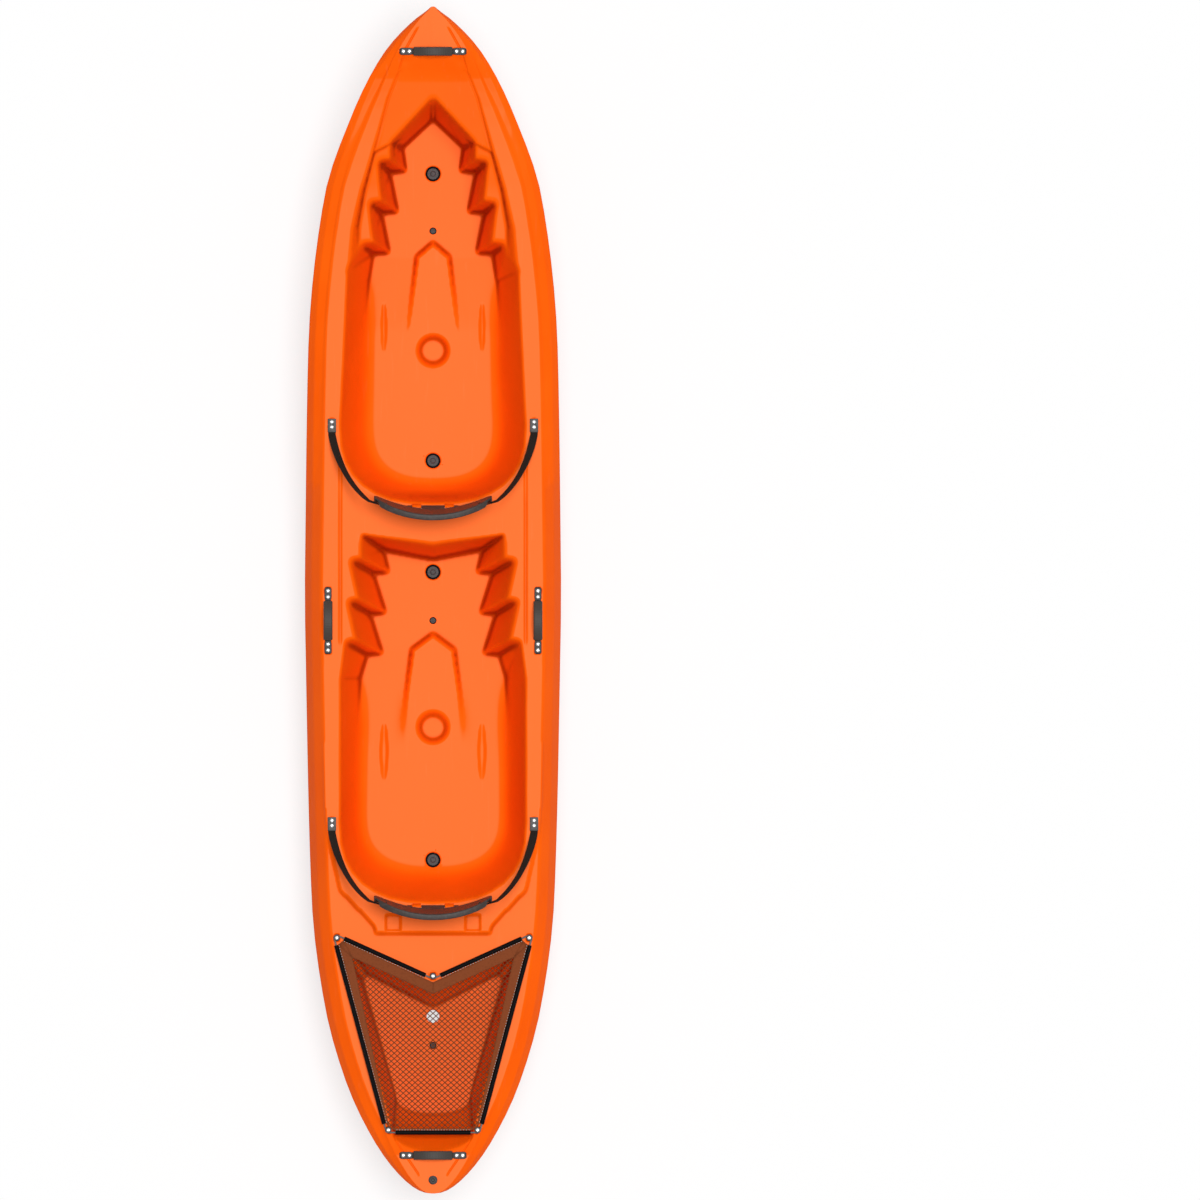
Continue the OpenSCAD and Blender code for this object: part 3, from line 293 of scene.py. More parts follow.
insertBrass = finishMaterial(
    "insertBrass", fleckedGrain,
    {"Colour": (0.65, 0.45, 0.18, 1), "Fleck Colour": (0.5, 0.33, 0.12, 1), "Roughness": 0.35},
    0.0001, 0.2, Metallic=1.0)
print("materials made")

# Pale floor that shows white to the camera and keeps a shadow, and soft overhead light
stageLook = {"floorSize": 40.0, "floorHeight": -0.0005, "floorColour": 0.8, "floorRoughness": 0.9,
             "shadowShare": 0.3, "worldLight": 0.26, "keyFrom": (0.09, 0.05, 0.99),
             "keySpread": math.radians(30), "keyPower": 3.1}


def makeFloor():
    mesh = bpy.data.meshes.new("floor")
    s, z = stageLook["floorSize"] / 2, stageLook["floorHeight"]
    mesh.from_pydata([(-s, -s, z), (s, -s, z), (s, s, z), (-s, s, z)], [], [(0, 1, 2, 3)])
    floor = bpy.data.objects.new("floor", mesh)
    scene.collection.objects.link(floor)
    material = bpy.data.materials.new("palePaper")
    material.use_nodes = True
    tree = material.node_tree
    shader = tree.nodes["Principled BSDF"]
    shader.inputs["Base Color"].default_value = (stageLook["floorColour"],) * 3 + (1,)
    shader.inputs["Roughness"].default_value = stageLook["floorRoughness"]
    rays = addNode(tree, "ShaderNodeLightPath").outputs
    seen = mathNode(tree, "ADD", rays["Is Camera Ray"], rays["Is Glossy Ray"])
    seen = mathNode(tree, "ADD", seen, rays["Is Transmission Ray"])
    share = mathNode(tree, "MULTIPLY", seen, 1 - stageLook["shadowShare"], use_clamp=True)
    mixShaders(tree, share, shader, addNode(tree, "ShaderNodeEmission"), "Material Output")
    mesh.materials.append(material)


def makeLight():
    world = bpy.data.worlds.new("softRoom")
    scene.world = world
    world.use_nodes = True
    room = world.node_tree
    sky = room.nodes["Background"]
    sky.inputs["Strength"].default_value = stageLook["worldLight"]
    sky.inputs["Color"].default_value = (1, 1, 1, 1)
    white = addNode(room, "ShaderNodeBackground", Color=(1, 1, 1, 1))
    rays = addNode(room, "ShaderNodeLightPath").outputs
    mixShaders(room, rays["Is Camera Ray"], sky, white, "World Output")

    lamp = bpy.data.objects.new("keyLight", bpy.data.lights.new("keyLight", "SUN"))
    lamp.data.energy = stageLook["keyPower"]
    lamp.data.angle = stageLook["keySpread"]
    lamp.rotation_euler = Vector(stageLook["keyFrom"]).to_track_quat("Z", "Y").to_euler()
    scene.collection.objects.link(lamp)


makeFloor()
makeLight()
print("stage and light made")


# Mesh helpers
def newPiece(name, mesh, material, body, slot, *nodes):
    piece = bpy.data.objects.new(name, mesh)
    scene.collection.objects.link(piece)
    mesh.materials.append(material)
    mesh.polygons.foreach_set("use_smooth", [True] * len(mesh.polygons))
    if body:
        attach(piece, body)
    if nodes:
        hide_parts(*nodes)
    return piece


def meshFrom(name, points, faces):
    mesh = bpy.data.meshes.new(name)
    mesh.from_pydata([tuple(p) for p in points], [], faces)
    mesh.validate()
    mesh.update()
    return mesh


def finishMesh(bm, name):
    bmesh.ops.recalc_face_normals(bm, faces=bm.faces)
    mesh = bpy.data.meshes.new(name)
    bm.to_mesh(mesh)
    bm.free()
    return mesh


def gridFaces(rows, columns, closeRows=False, closeColumns=False):
    faces = []
    for i in range(rows if closeRows else rows - 1):
        here, there = i * columns, (i + 1) % rows * columns
        for j in range(columns if closeColumns else columns - 1):
            n = (j + 1) % columns
            faces.append((here + j, here + n, there + n, there + j))
    return faces


def joinRings(bm, first, second):
    steps = len(first)
    for k in range(steps):
        n = (k + 1) % steps
        bm.faces.new((first[k], first[n], second[n], second[k]))


# Skin over a row of rings, with a face over each end
def skinRings(bm, rings):
    for a, b in zip(rings, rings[1:]):
        joinRings(bm, a, b)
    bm.faces.new(rings[0][::-1])
    bm.faces.new(rings[-1])


def circle(steps, radius=1.0):
    angles = [2 * math.pi * k / steps for k in range(steps)]
    return [(radius * math.cos(a), radius * math.sin(a)) for a in angles]


def smoothStep(low, high, value):
    t = np.clip((value - low) / (high - low), 0, 1)
    return t * t * (3 - 2 * t)


# One between the two inner limits, and nothing beyond the two outer ones
def window(value, start, full, fade, end):
    return smoothStep(start, full, value) * (1 - smoothStep(fade, end, value))


def middle(node):
    low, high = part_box(node)
    return (low + high) / 2


# Loose solids of a node, as arrays of points
def nodeIslands(node, reach=0.02):
    points = [v.co.copy() for v in frame["nodes"][node].data.vertices]
    tree = KDTree(len(points))
    for i, p in enumerate(points):
        tree.insert(p, i)
    tree.balance()
    group = [-1] * len(points)
    islands = []
    for seed in range(len(points)):
        if group[seed] >= 0:
            continue
        group[seed] = len(islands)
        todo, members = [seed], []
        while todo:
            i = todo.pop()
            members.append(i)
            for _, k, _ in tree.find_range(points[i], reach):
                if group[k] < 0:
                    group[k] = len(islands)
                    todo.append(k)
        islands.append(np.array([points[i] for i in members]))
    return islands


# Hull: the deck and the bottom are read from the CAD hull along rows across the boat, softened as a
# moulding is, and given the creases, panels and grooves of the moulded deck. Lines are (y, x) points,
# seats are (back, front, cup) and grooves are (x, y, half width, half length)
hullLook = {
    "rowStep": 0.004, "tipStep": 0.0012, "tipGrowth": 0.1, "tipGap": 0.0002, "edgeShare": 0.9998,
    "deckColumns": 96, "shoulderColumns": 24, "shoulderShare": 0.86, "bottomColumns": 30,
    "bottomSpread": 0.75, "softPasses": 1, "seatPasses": 50, "rimPasses": 4, "rimHalf": (0.26, 0.28),
    "edgeFade": (0.97, 1.0), "upperHeights": (0.15, 0.24), "lowerHeights": (0.20, 0.29),
    "seats": [(0.293, 1.02, 0.777), (-0.93, -0.22, -0.397)], "seatMiddle": (0.07, 0.10),
    "footWells": [(1.00, 1.60), (-0.20, 0.20)], "lugReach": 0.0135, "lugHalf": 0.07, "lugDrop": 0.013,
    "noseRidge": 0.004, "noseRidgeHalf": 0.06, "noseRidgeRise": (1.69, 1.74),
    "noseLine": [(1.790, 0.045), (1.714, 0.087), (1.650, 0.106)], "noseLineDepth": 0.004,
    "noseLineWidth": 0.0045,
    "railFoot": [(1.650, 0.106), (1.563, 0.139), (1.399, 0.182), (1.274, 0.216), (1.160, 0.236)],
    "railFootDepth": 0.004, "railFootWidth": 0.006,
    "sternLine": [(-1.660, 0.131), (-1.714, 0.097), (-1.79, 0.045)], "sternLineDepth": 0.004,
    "sternLineWidth": 0.0038,
    "foredeckFold": (1.615, 1.70, 0.118), "shelfEdge": (0.134, 1.424, 0.5), "shelfDrop": 0.010,
    "shelfStart": (1.04, 1.30), "shelfHeights": (0.24, 0.27),
    "railLine": 0.289, "railLineSpan": (-0.13, 0.46), "railLineDepth": 0.004, "railLineWidth": 0.005,
    "grooves": [(0.153, 0.850, 0.008, 0.078), (0.1525, -0.472, 0.012, 0.092)], "grooveDepth": 0.006,
    "grooveSlope": 1.4, "blockPocket": (0.098, 0.150, -1.034, -0.978), "pocketDepth": 0.006,
    "pocketWall": 0.006, "panels": [(0.83, 1.14), (-0.40, -0.09)], "panelHalf": 0.115, "panelPasses": 1,
    # the crease values below set the painted shade that darkens the creases
    "paintedShadePasses": 5, "paintedShadeStart": 0.0006, "paintedShadeDepth": 0.0036, "paintedShadeGain": 1.3,
}
hullNode = frame["nodes"]["hull"]
hullTree = BVHTree.FromPolygons([v.co for v in hullNode.data.vertices],
                                [tuple(p.vertices) for p in hullNode.data.polygons])
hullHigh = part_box("hull")[1]
upward, downward = Vector((0, 0, 1)), Vector((0, 0, -1))
frontPin, rearPin = middle("front_hinge_pin"), middle("rear_hinge_pin")
deckTop = frontPin.z - hullLook["lugDrop"]

# Holes in the hull: scuppers run through it, and the others end inside
holeLook = {"lip": 0.004, "smallLip": 0.0015, "boreRadius": 0.020, "boreDepth": 0.05, "boreFoot": 0.02,
            "seatDepth": 0.009, "seatGap": 0.0003, "bungRadius": 0.008, "bungDepth": 0.014,
            "drainRadius": 0.010, "drainDepth": 0.02, "steps": 48, "rimGap": 0.004, "fillRows": 0.003,
            "fillReach": 0.002, "cutGap": 0.003}
plugNodes = ["front_foot_scupper_plug", "front_seat_scupper_plug", "rear_foot_scupper_plug",
             "rear_seat_scupper_plug"]
bungNodes = ["front_bung", "rear_bung", "cargo_bung"]
openScupper = Vector(next(m["pos_m"] for m in frame["record"]["mounts"] if m["name"] == "open_scupper"))


def headRadius(node):
    low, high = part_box(node)
    return (high.x - low.x) / 2


def holeAt(node, radius):
    return middle(node).x, middle(node).y, radius


scupperPlaces = [holeAt(node, headRadius(plugNodes[0]) + holeLook["seatGap"]) for node in plugNodes]
scupperPlaces.append((openScupper.x, openScupper.y, holeLook["boreRadius"]))
bungPlaces = [holeAt(node, holeLook["bungRadius"]) for node in bungNodes]
drainPlace = holeAt("drain_bush", holeLook["drainRadius"])
holePlaces = scupperPlaces + bungPlaces + [drainPlace]


def deckAt(x, y):
    hit = hullTree.ray_cast(Vector((x, y, 1.0)), downward)[0]
    return None if hit is None else hit.z


def bottomAt(x, y):
    hit = hullTree.ray_cast(Vector((x, y, -1.0)), upward)[0]
    return None if hit is None else hit.z


def halfBreadth(y):
    low, high = 0.0, hullHigh.x + 0.002
    for _ in range(16):
        x = (low + high) / 2
        if deckAt(x, y) is None:
            high = x
        else:
            low = x
    return low


# Rows lie closer together towards the bow and the stern
def rowPlaces():
    end = hullHigh.y - hullLook["tipGap"]
    places, y = [-end], -end
    while y < end:
        fromTip = max(0.0, min(end - y, end + y))
        y += min(hullLook["rowStep"], hullLook["tipStep"] + hullLook["tipGrowth"] * fromTip)
        places.append(min(y, end))
    return np.array(places)


def mirrored(shares):
    return np.concatenate([-shares[:0:-1], shares])


def soften(field, passes):
    for _ in range(passes):
        for axis in (0, 1):
            a = np.moveaxis(field, axis, 0)
            a[1:-1] = 0.25 * a[:-2] + 0.5 * a[1:-1] + 0.25 * a[2:]
    return field


def lineAcross(points, y):
    ys, xs = zip(*sorted(points))
    return np.interp(y, ys, xs)


# Line with sloping sides: one in its middle and nothing at its edges
def veeLine(offset, half):
    return np.clip(1 - np.abs(offset) / half, 0, 1)


def mouldedDetails(x, y, z):
    look = hullLook
    side = np.abs(x)
    # Ridge on the nose, and the lines that run back from it and across the stern deck
    change = look["noseRidge"] * veeLine(side, look["noseRidgeHalf"]) * smoothStep(*look["noseRidgeRise"], y)
    for line in ("noseLine", "railFoot", "sternLine"):
        first, last = sorted((look[line][0][0], look[line][-1][0]))
        along = window(y, first - 0.01, first + 0.01, last - 0.02, last)
        shape = veeLine(side - lineAcross(look[line], y), look[line + "Width"])
        change -= look[line + "Depth"] * along * shape
    # Shelves beside the front foot braces, set down behind the edge of the foredeck
    edgeX, edgeY, slope = look["shelfEdge"]
    edge = edgeY - slope * (side - edgeX)
    shelf = window(y, *look["shelfStart"], edge - 0.007, edge + 0.001) * smoothStep(*look["shelfHeights"], z)
    foot = lineAcross(look["railFoot"], y)
    change -= look["shelfDrop"] * shelf * (1 - smoothStep(foot - 0.002, foot + 0.004, side))
    # Line where each rail meets the deck between the cockpits
    low, high = look["railLineSpan"]
    along = window(y, low - 0.02, low + 0.01, high - 0.04, high)
    change -= look["railLineDepth"] * along * veeLine(side - look["railLine"], look["railLineWidth"])
    # Long grooves beside the cup recesses
    for atX, atY, wide, long in look["grooves"]:
        lens = 1 - ((side - atX) / wide) ** 2 - ((y - atY) / long) ** 2
        change -= look["grooveDepth"] * np.clip(lens * look["grooveSlope"], 0, 1)
    # Pockets in the block behind the rear cockpit
    left, right, back, front = look["blockPocket"]
    wall = look["pocketWall"]
    pocket = window(side, left, left + wall, right - wall, right)
    change -= look["pocketDepth"] * pocket * window(y, back, back + wall, front - wall, front)
    return change


def readSurfaces(rows, half, top, low):
    heights = np.zeros((len(rows), len(top)))
    depths = np.zeros((len(rows), len(low)))
    for i, y in enumerate(rows):
        byLugs = min(abs(y - frontPin.y), abs(y - rearPin.y)) < hullLook["lugReach"]
        for j, u in enumerate(top):
            x = u * half[i] * hullLook["edgeShare"]
            heights[i, j] = deckAt(x, y)
            if byLugs and abs(x) < hullLook["lugHalf"]:
                heights[i, j] = min(heights[i, j], deckTop)
        for j, u in enumerate(low):
            depths[i, j] = bottomAt(u * half[i] * hullLook["edgeShare"], y)
    return heights, depths


# Holes are filled level here, and cut again as round ones below
def fillHoles(rows, half, top, low, heights, depths):
    for atX, atY, r in holePlaces:
        rim = r + holeLook["rimGap"]
        level = max(deckAt(atX + rim * math.cos(a), atY + rim * math.sin(a)) for a in (0, 2, 4))
        for i in np.nonzero(np.abs(rows - atY) < r + holeLook["fillRows"])[0]:
            for shares, field, value in ((top, heights, level), (low, depths, bottomAt(atX + rim, atY))):
                away = np.hypot(shares * half[i] - atX, rows[i] - atY)
                field[i, away < r + holeLook["fillReach"]] = value


# Rounded rims round the foot wells, and seat walls that run into their floors in a wide curve
def easeDeck(rows, across, heights):
    side = np.abs(across)
    rounded = soften(heights.copy(), hullLook["rimPasses"])
    wide = soften(heights.copy(), hullLook["seatPasses"])
    panelled = soften(heights.copy(), hullLook["panelPasses"])
    upper = smoothStep(*hullLook["upperHeights"], heights)
    lower = 1 - smoothStep(*hullLook["lowerHeights"], heights)
    byRim, bySeat, byPanel = np.zeros_like(heights), np.zeros_like(heights), np.zeros_like(heights)
    for back, front in hullLook["footWells"]:
        byRim += window(rows, back, back + 0.03, front - 0.03, front)[:, None]
    byRim *= 1 - smoothStep(*hullLook["rimHalf"], side)
    for back, front, cup in hullLook["seats"]:
        inSeat = window(rows, back, back + 0.06, front - 0.2, front)[:, None]
        behindCup = 1 - smoothStep(cup - 0.13, cup - 0.09, rows)
        bySeat += inSeat * np.maximum(smoothStep(*hullLook["seatMiddle"], side), behindCup[:, None])
    for back, front in hullLook["panels"]:
        byPanel += window(rows, back, back + 0.03, front - 0.01, front)[:, None]
    byPanel *= 1 - smoothStep(hullLook["panelHalf"] - 0.01, hullLook["panelHalf"], side)
    back, front, foldHalf = hullLook["foredeckFold"]
    fold = window(rows, back, back + 0.02, front - 0.03, front)[:, None]
    fold = fold * (1 - smoothStep(foldHalf - 0.03, foldHalf, side))
    heights = heights + (panelled - heights) * byPanel
    byWide = np.maximum(bySeat * lower, fold)
    heights = heights + (rounded - heights) * byRim * upper + (wide - heights) * byWide
    return soften(heights, hullLook["softPasses"]), bySeat


# How deep each point lies in a crease, for the painted shade there
def paintedShadeShares(heights, bySeat):
    sunk = soften(heights.copy(), hullLook["paintedShadePasses"]) - heights - hullLook["paintedShadeStart"]
    shares = np.clip(sunk / hullLook["paintedShadeDepth"], 0, 1) * (1 - np.clip(bySeat, 0, 1))
    return np.clip(hullLook["paintedShadeGain"] * soften(shares, 1), 0, 1)


def buildHullMesh():
    rows = rowPlaces()
    half = np.array([halfBreadth(y) for y in rows])
    share = hullLook["shoulderShare"]
    top = mirrored(np.concatenate([np.linspace(0, share, hullLook["deckColumns"]),
                                   np.linspace(share, 1, hullLook["shoulderColumns"])[1:]]))
    low = mirrored(np.linspace(0, 1, hullLook["bottomColumns"]) ** hullLook["bottomSpread"])
    heights, depths = readSurfaces(rows, half, top, low)
    chine = (depths[:, 0] + heights[:, 0]) / 2
    fillHoles(rows, half, top, low, heights, depths)
    n, m = len(top), len(low)
    across = top[None, :] * half[:, None]
    along = np.repeat(rows[:, None], n, 1)
    heights, bySeat = easeDeck(rows, across, heights)
    depths = soften(depths, 1)
    edgeFade = 1 - smoothStep(*hullLook["edgeFade"], np.abs(top))[None, :]
    heights = heights + mouldedDetails(across, along, heights) * edgeFade
    # Painted shade: how strongly each deck point is darkened in the creases
    paintedShade = paintedShadeShares(heights, bySeat) * edgeFade
    heights[:, 0] = heights[:, -1] = chine
    deck = np.stack([across, along, heights], -1).reshape(-1, 3)
    inner = low[None, 1:-1] * half[:, None]
    bottom = np.stack([inner, np.repeat(rows[:, None], m - 2, 1), depths[:, 1:-1]], -1)
    points = np.concatenate([deck, bottom.reshape(-1, 3)])

    # Points of the bottom, which shares the deck's outer edges
    def bottomPoint(i, j):
        if j in (0, m - 1):
            return i * n + (n - 1 if j else 0)
        return len(deck) + i * (m - 2) + j - 1

    faces = gridFaces(len(rows), n)
    for i in range(len(rows) - 1):
        for j in range(m - 1):
            faces.append((bottomPoint(i, j), bottomPoint(i + 1, j), bottomPoint(i + 1, j + 1),
                          bottomPoint(i, j + 1)))
    for i, turn in ((0, 1), (len(rows) - 1, -1)):
        ring = [i * n + j for j in range(n)] + [bottomPoint(i, j) for j in range(m - 2, 0, -1)]
        faces.append(tuple(ring[::-turn]))
    mesh = meshFrom("hullSkin", points, faces)
    # painted shade on the deck points, and none on the bottom
    paintedShadePerPoint = np.concatenate([paintedShade.ravel(), np.zeros(len(points) - len(deck))])
    mesh.attributes.new("paintedShade", "FLOAT", "POINT").data.foreach_set("value", paintedShadePerPoint.astype(np.float32))
    return mesh


# Corners of an open edge in order, counterclockwise about a centre and starting at the smallest angle
def orderedLoop(edges, atX, atY):
    links = {}
    for e in edges:
        for v in e.verts:
            links.setdefault(v, []).append(e.other_vert(v))
    angleOf = lambda v: math.atan2(v.co.y - atY, v.co.x - atX) % (2 * math.pi)
    start = min(links, key=angleOf)
    loop, last = [start], None
    while True:
        here = loop[-1]
        step = [v for v in links[here] if v is not last]
        if last is None:
            step.sort(key=angleOf)
        last = here
        if step[0] is start:
            return loop
        loop.append(step[0])


# Triangles between an open edge and a round ring that share a centre
def zipLoops(bm, loop, ring, atX, atY):
    def turns(verts):
        angles = np.unwrap([math.atan2(v.co.y - atY, v.co.x - atX) for v in verts])
        return list(angles - 2 * math.pi * round(angles[0] / (2 * math.pi))) + [angles[0] + 2 * math.pi]

    outer, inner = turns(loop), turns(ring)
    i = j = 0
    while i < len(loop) or j < len(ring):
        a, b = loop[i % len(loop)], ring[j % len(ring)]
        if j >= len(ring) or (i < len(loop) and outer[i + 1] <= inner[j + 1]):
            bm.faces.new((a, loop[(i + 1) % len(loop)], b))
            i += 1
        else:
            bm.faces.new((a, ring[(j + 1) % len(ring)], b))
            j += 1


# Round hole with a soft lip, cut down from the deck or up from the bottom; gives its innermost ring
def openHole(bm, atX, atY, r, lip, depth, above):
    outer = r + lip
    reach = outer + holeLook["cutGap"]
    sign = 1 if above else -1
    surface = deckAt if above else bottomAt
    away = lambda v: math.hypot(v.co.x - atX, v.co.y - atY)
    near = [v for v in bm.verts if away(v) < reach and v.normal.z * sign > 0.2]
    bmesh.ops.delete(bm, geom=near, context="VERTS")
    rim = [e for e in bm.edges if e.is_boundary and all(reach <= away(v) < 2 * reach for v in e.verts)]
    rim = [e for e in rim if abs(e.verts[0].co.z - surface(atX + reach, atY)) < 0.03]
    directions = circle(holeLook["steps"])
    levels = [surface(atX + outer * c, atY + outer * s) for c, s in directions]

    def ringAt(radius, drop):
        return [bm.verts.new((atX + radius * c, atY + radius * s, z - sign * drop))
                for (c, s), z in zip(directions, levels)]

    previous = ringAt(outer, 0)
    zipLoops(bm, orderedLoop(rim, atX, atY), previous, atX, atY)
    bends = np.linspace(0, math.pi / 2, 6)[1:]
    profile = [(r + lip * (1 - math.sin(t)), lip * (1 - math.cos(t))) for t in bends]
    profile += [(r, d) for d in np.linspace(lip, depth, 4)[1:]]
    for radius, drop in profile:
        ring = ringAt(radius, drop)
        joinRings(bm, previous, ring)
        previous = ring
    return previous


def cutHullHoles(mesh):
    bm = bmesh.new()
    bm.from_mesh(mesh)
    bm.normal_update()
    lip, bore = holeLook["lip"], holeLook["boreRadius"]
    for atX, atY, r in scupperPlaces:
        depth = holeLook["seatDepth"] if r > bore else holeLook["boreDepth"]
        upper = openHole(bm, atX, atY, r, lip, depth, True)
        lower = openHole(bm, atX, atY, bore, lip, holeLook["boreFoot"], False)
        if r > bore:
            around = circle(len(upper), bore)
            ledge = [bm.verts.new((atX + x, atY + y, v.co.z)) for (x, y), v in zip(around, upper)]
            joinRings(bm, upper, ledge)
            upper = ledge
        joinRings(bm, upper, lower)
    blind = [(place, holeLook["bungDepth"]) for place in bungPlaces] + [(drainPlace, holeLook["drainDepth"])]
    for place, depth in blind:
        bm.faces.new(openHole(bm, *place, holeLook["smallLip"], depth, True))
    bmesh.ops.recalc_face_normals(bm, faces=bm.faces)
    bm.to_mesh(mesh)
    bm.free()


hullMesh = buildHullMesh()
cutHullHoles(hullMesh)
newPiece("hullSkin", hullMesh, hullOrange, "kayak", "hull_plastic", "hull")
print("hull built with", len(hullMesh.vertices), "points")


def roundedOutline(corners, radius, steps=4):
    points = []
    count = len(corners)
    for i, c in enumerate(corners):
        c = Vector(c)
        a, b = Vector(corners[i - 1]) - c, Vector(corners[(i + 1) % count]) - c
        reach = min(radius, a.length / 2.1, b.length / 2.1)
        start, end = c + a.normalized() * reach, c + b.normalized() * reach
        for k in range(steps + 1):
            t = k / steps
            points.append(start * (1 - t) ** 2 + c * 2 * t * (1 - t) + end * t * t)
    return points


# Corners of a rectangle about the origin
def oblong(wide, tall):
    x, y = wide / 2, tall / 2
    return [(-x, -y), (x, -y), (x, y), (-x, y)]


# Solid with rounded edges, from an outline and its two end heights; place maps (u, v, w) to the part
def softBlock(bm, outline, low, high, edge, place):
    middlePoint = sum((Vector(p) for p in outline), Vector((0, 0))) / len(outline)
    part = 0.3 * edge
    rings = []
    for w, inset in ((low, edge), (low + part, part), (low + edge, 0), (high - edge, 0), (high - part, part),
                     (high, edge)):
        ring = []
        for p in outline:
            p = Vector(p)
            out = p - middlePoint
            q = p - out.normalized() * min(inset, out.length * 0.5)
            ring.append(bm.verts.new(place(q.x, q.y, w)))
        rings.append(ring)
    skinRings(bm, rings)


# Lugs that hold the hinge pins, moulded with the deck
lugLook = {"inside": 0.037, "width": 0.028, "length": 0.024, "rise": 0.0085, "round": 0.004, "top": 0.006,
           "flare": 0.003, "sunk": 0.003, "edge": 0.0015}


def makeLugs(name, pin):
    bm = bmesh.new()
    half, foot = lugLook["length"] / 2, deckTop - pin.z - lugLook["sunk"]
    toe, top, rise = half + lugLook["flare"], lugLook["top"], lugLook["rise"]
    corners = [(-toe, foot), (toe, foot), (half, 0), (top, rise), (-top, rise), (-half, 0)]
    outline = roundedOutline(corners, lugLook["round"])
    for side in (-1, 1):
        softBlock(bm, outline, lugLook["inside"], lugLook["inside"] + lugLook["width"], lugLook["edge"],
                  lambda u, v, w: (side * w, pin.y + u, pin.z + v))
    newPiece(name, finishMesh(bm, name), hullOrange, "kayak", "hull_plastic")


makeLugs("frontHingeLugs", frontPin)
makeLugs("rearHingeLugs", rearPin)
print("hinge lugs built")


# Turned piece: a profile of (radius, height) pairs, closed on the axis, about a centre
def turned(bm, profile, centre, steps=48):
    rings = []
    for r, z in profile:
        around = circle(steps, r) if r > 1e-6 else [(0, 0)]
        rings.append([bm.verts.new((centre[0] + x, centre[1] + y, centre[2] + z)) for x, y in around])
    for a, b in zip(rings, rings[1:]):
        for k in range(steps):
            n = (k + 1) % steps
            if len(a) == 1:
                bm.faces.new((a[0], b[n], b[k]))
            elif len(b) == 1:
                bm.faces.new((a[k], a[n], b[0]))
            else:
                bm.faces.new((a[k], a[n], b[n], b[k]))


# Corner points of a profile, each rounded by a short bend
def eased(profile, radius):
    points = [profile[0]]
    for before, corner, after in zip(profile, profile[1:], profile[2:]):
        corner = Vector(corner)
        u, v = Vector(before) - corner, Vector(after) - corner
        reach = min(radius, u.length / 2.2, v.length / 2.2)
        start, end = corner + u.normalized() * reach, corner + v.normalized() * reach
        points += [tuple(start), tuple(start * 0.25 + corner * 0.5 + end * 0.25), tuple(end)]
    return points + [profile[-1]]


# Stopper turned about its node's middle, speckled inside a radius and dark outside it
def makeStopper(node, profile, stemLength, faceRadius, look):
    centre = middle(node)
    bm = bmesh.new()
    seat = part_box(node)[0].z + stemLength
    turned(bm, eased(profile, look["bend"]), (centre.x, centre.y, seat), look["steps"])
    for face in bm.faces:
        p = face.calc_center_median()
        face.material_index = 1 if math.hypot(p.x - centre.x, p.y - centre.y) > faceRadius else 0
    piece = newPiece(node + "Look", finishMesh(bm, node), plugRubber, node, "plug_rubber", node)
    piece.data.materials.append(sleeveBlack)


# Scupper plugs: a tapered stem with sealing ribs, a head with a raised rim and a dished face
plugLook = {"stem": 0.0197, "stemLength": 0.046, "rimWidth": 0.0035, "headHeight": 0.0058, "dish": 0.0028,
            "nub": 0.005, "nubHeight": 0.0072, "ribs": 3, "ribStart": -0.034, "ribPitch": 0.011,
            "bend": 0.0006, "steps": 48}


def makePlug(node):
    head, stem, bottom = headRadius(node), plugLook["stem"], -plugLook["stemLength"]
    rim, floor = head - plugLook["rimWidth"], plugLook["headHeight"] - plugLook["dish"]
    profile = [(0, bottom), (stem - 0.004, bottom), (stem - 0.0005, -0.040)]
    for k in range(plugLook["ribs"]):
        z = plugLook["ribStart"] + k * plugLook["ribPitch"]
        profile += [(stem - 0.0012, z), (stem - 0.0001, z + 0.002), (stem - 0.0001, z + 0.0035),
                    (stem - 0.0012, z + 0.0055)]
    profile += [(stem - 0.0008, 0), (head, 0.0), (head, 0.0052), (rim, plugLook["headHeight"]),
                (rim - 0.0015, floor), (0.0085, floor), (0.0075, 0.0063),
                (plugLook["nub"], plugLook["nubHeight"]), (0, plugLook["nubHeight"])]
    makeStopper(node, profile, plugLook["stemLength"], rim - 0.002, plugLook)


for node in plugNodes:
    makePlug(node)

# Bungs: a small domed head on a ribbed stem
bungLook = {"stem": 0.0077, "stemLength": 0.012, "headHeight": 0.004, "dimple": 0.004, "dimpleDepth": 0.0012,
            "dome": 0.003, "bend": 0.0004, "steps": 40}


def makeBung(node):
    head, stem, bottom = headRadius(node), bungLook["stem"], -bungLook["stemLength"]
    top, dimple, dome = bungLook["headHeight"], bungLook["dimple"], head - bungLook["dome"]
    floor, waist = top - bungLook["dimpleDepth"], stem - 0.0008
    profile = [(0, bottom), (stem - 0.002, bottom), (stem, -0.0095), (stem, -0.008), (waist, -0.0072),
               (stem, -0.0062), (stem, -0.005), (waist, -0.0042), (stem - 0.0004, 0.0), (head, 0.0),
               (head, 0.0018), (head - 0.001, 0.0031), (dome, top), (dimple + 0.001, top), (dimple, floor),
               (0, floor)]
    makeStopper(node, profile, bungLook["stemLength"], dome, bungLook)


for node in bungNodes:
    makeBung(node)
print("plugs and bungs built")

# Stern drain: a flanged bush, and a knob with lobes to grip
drainLook = {"bore": 0.0075, "flange": 0.003, "stemGap": 0.0003, "bend": 0.0004, "lobes": 10,
             "lobeDepth": 0.0009, "knobHeight": 0.008, "steps": 80}


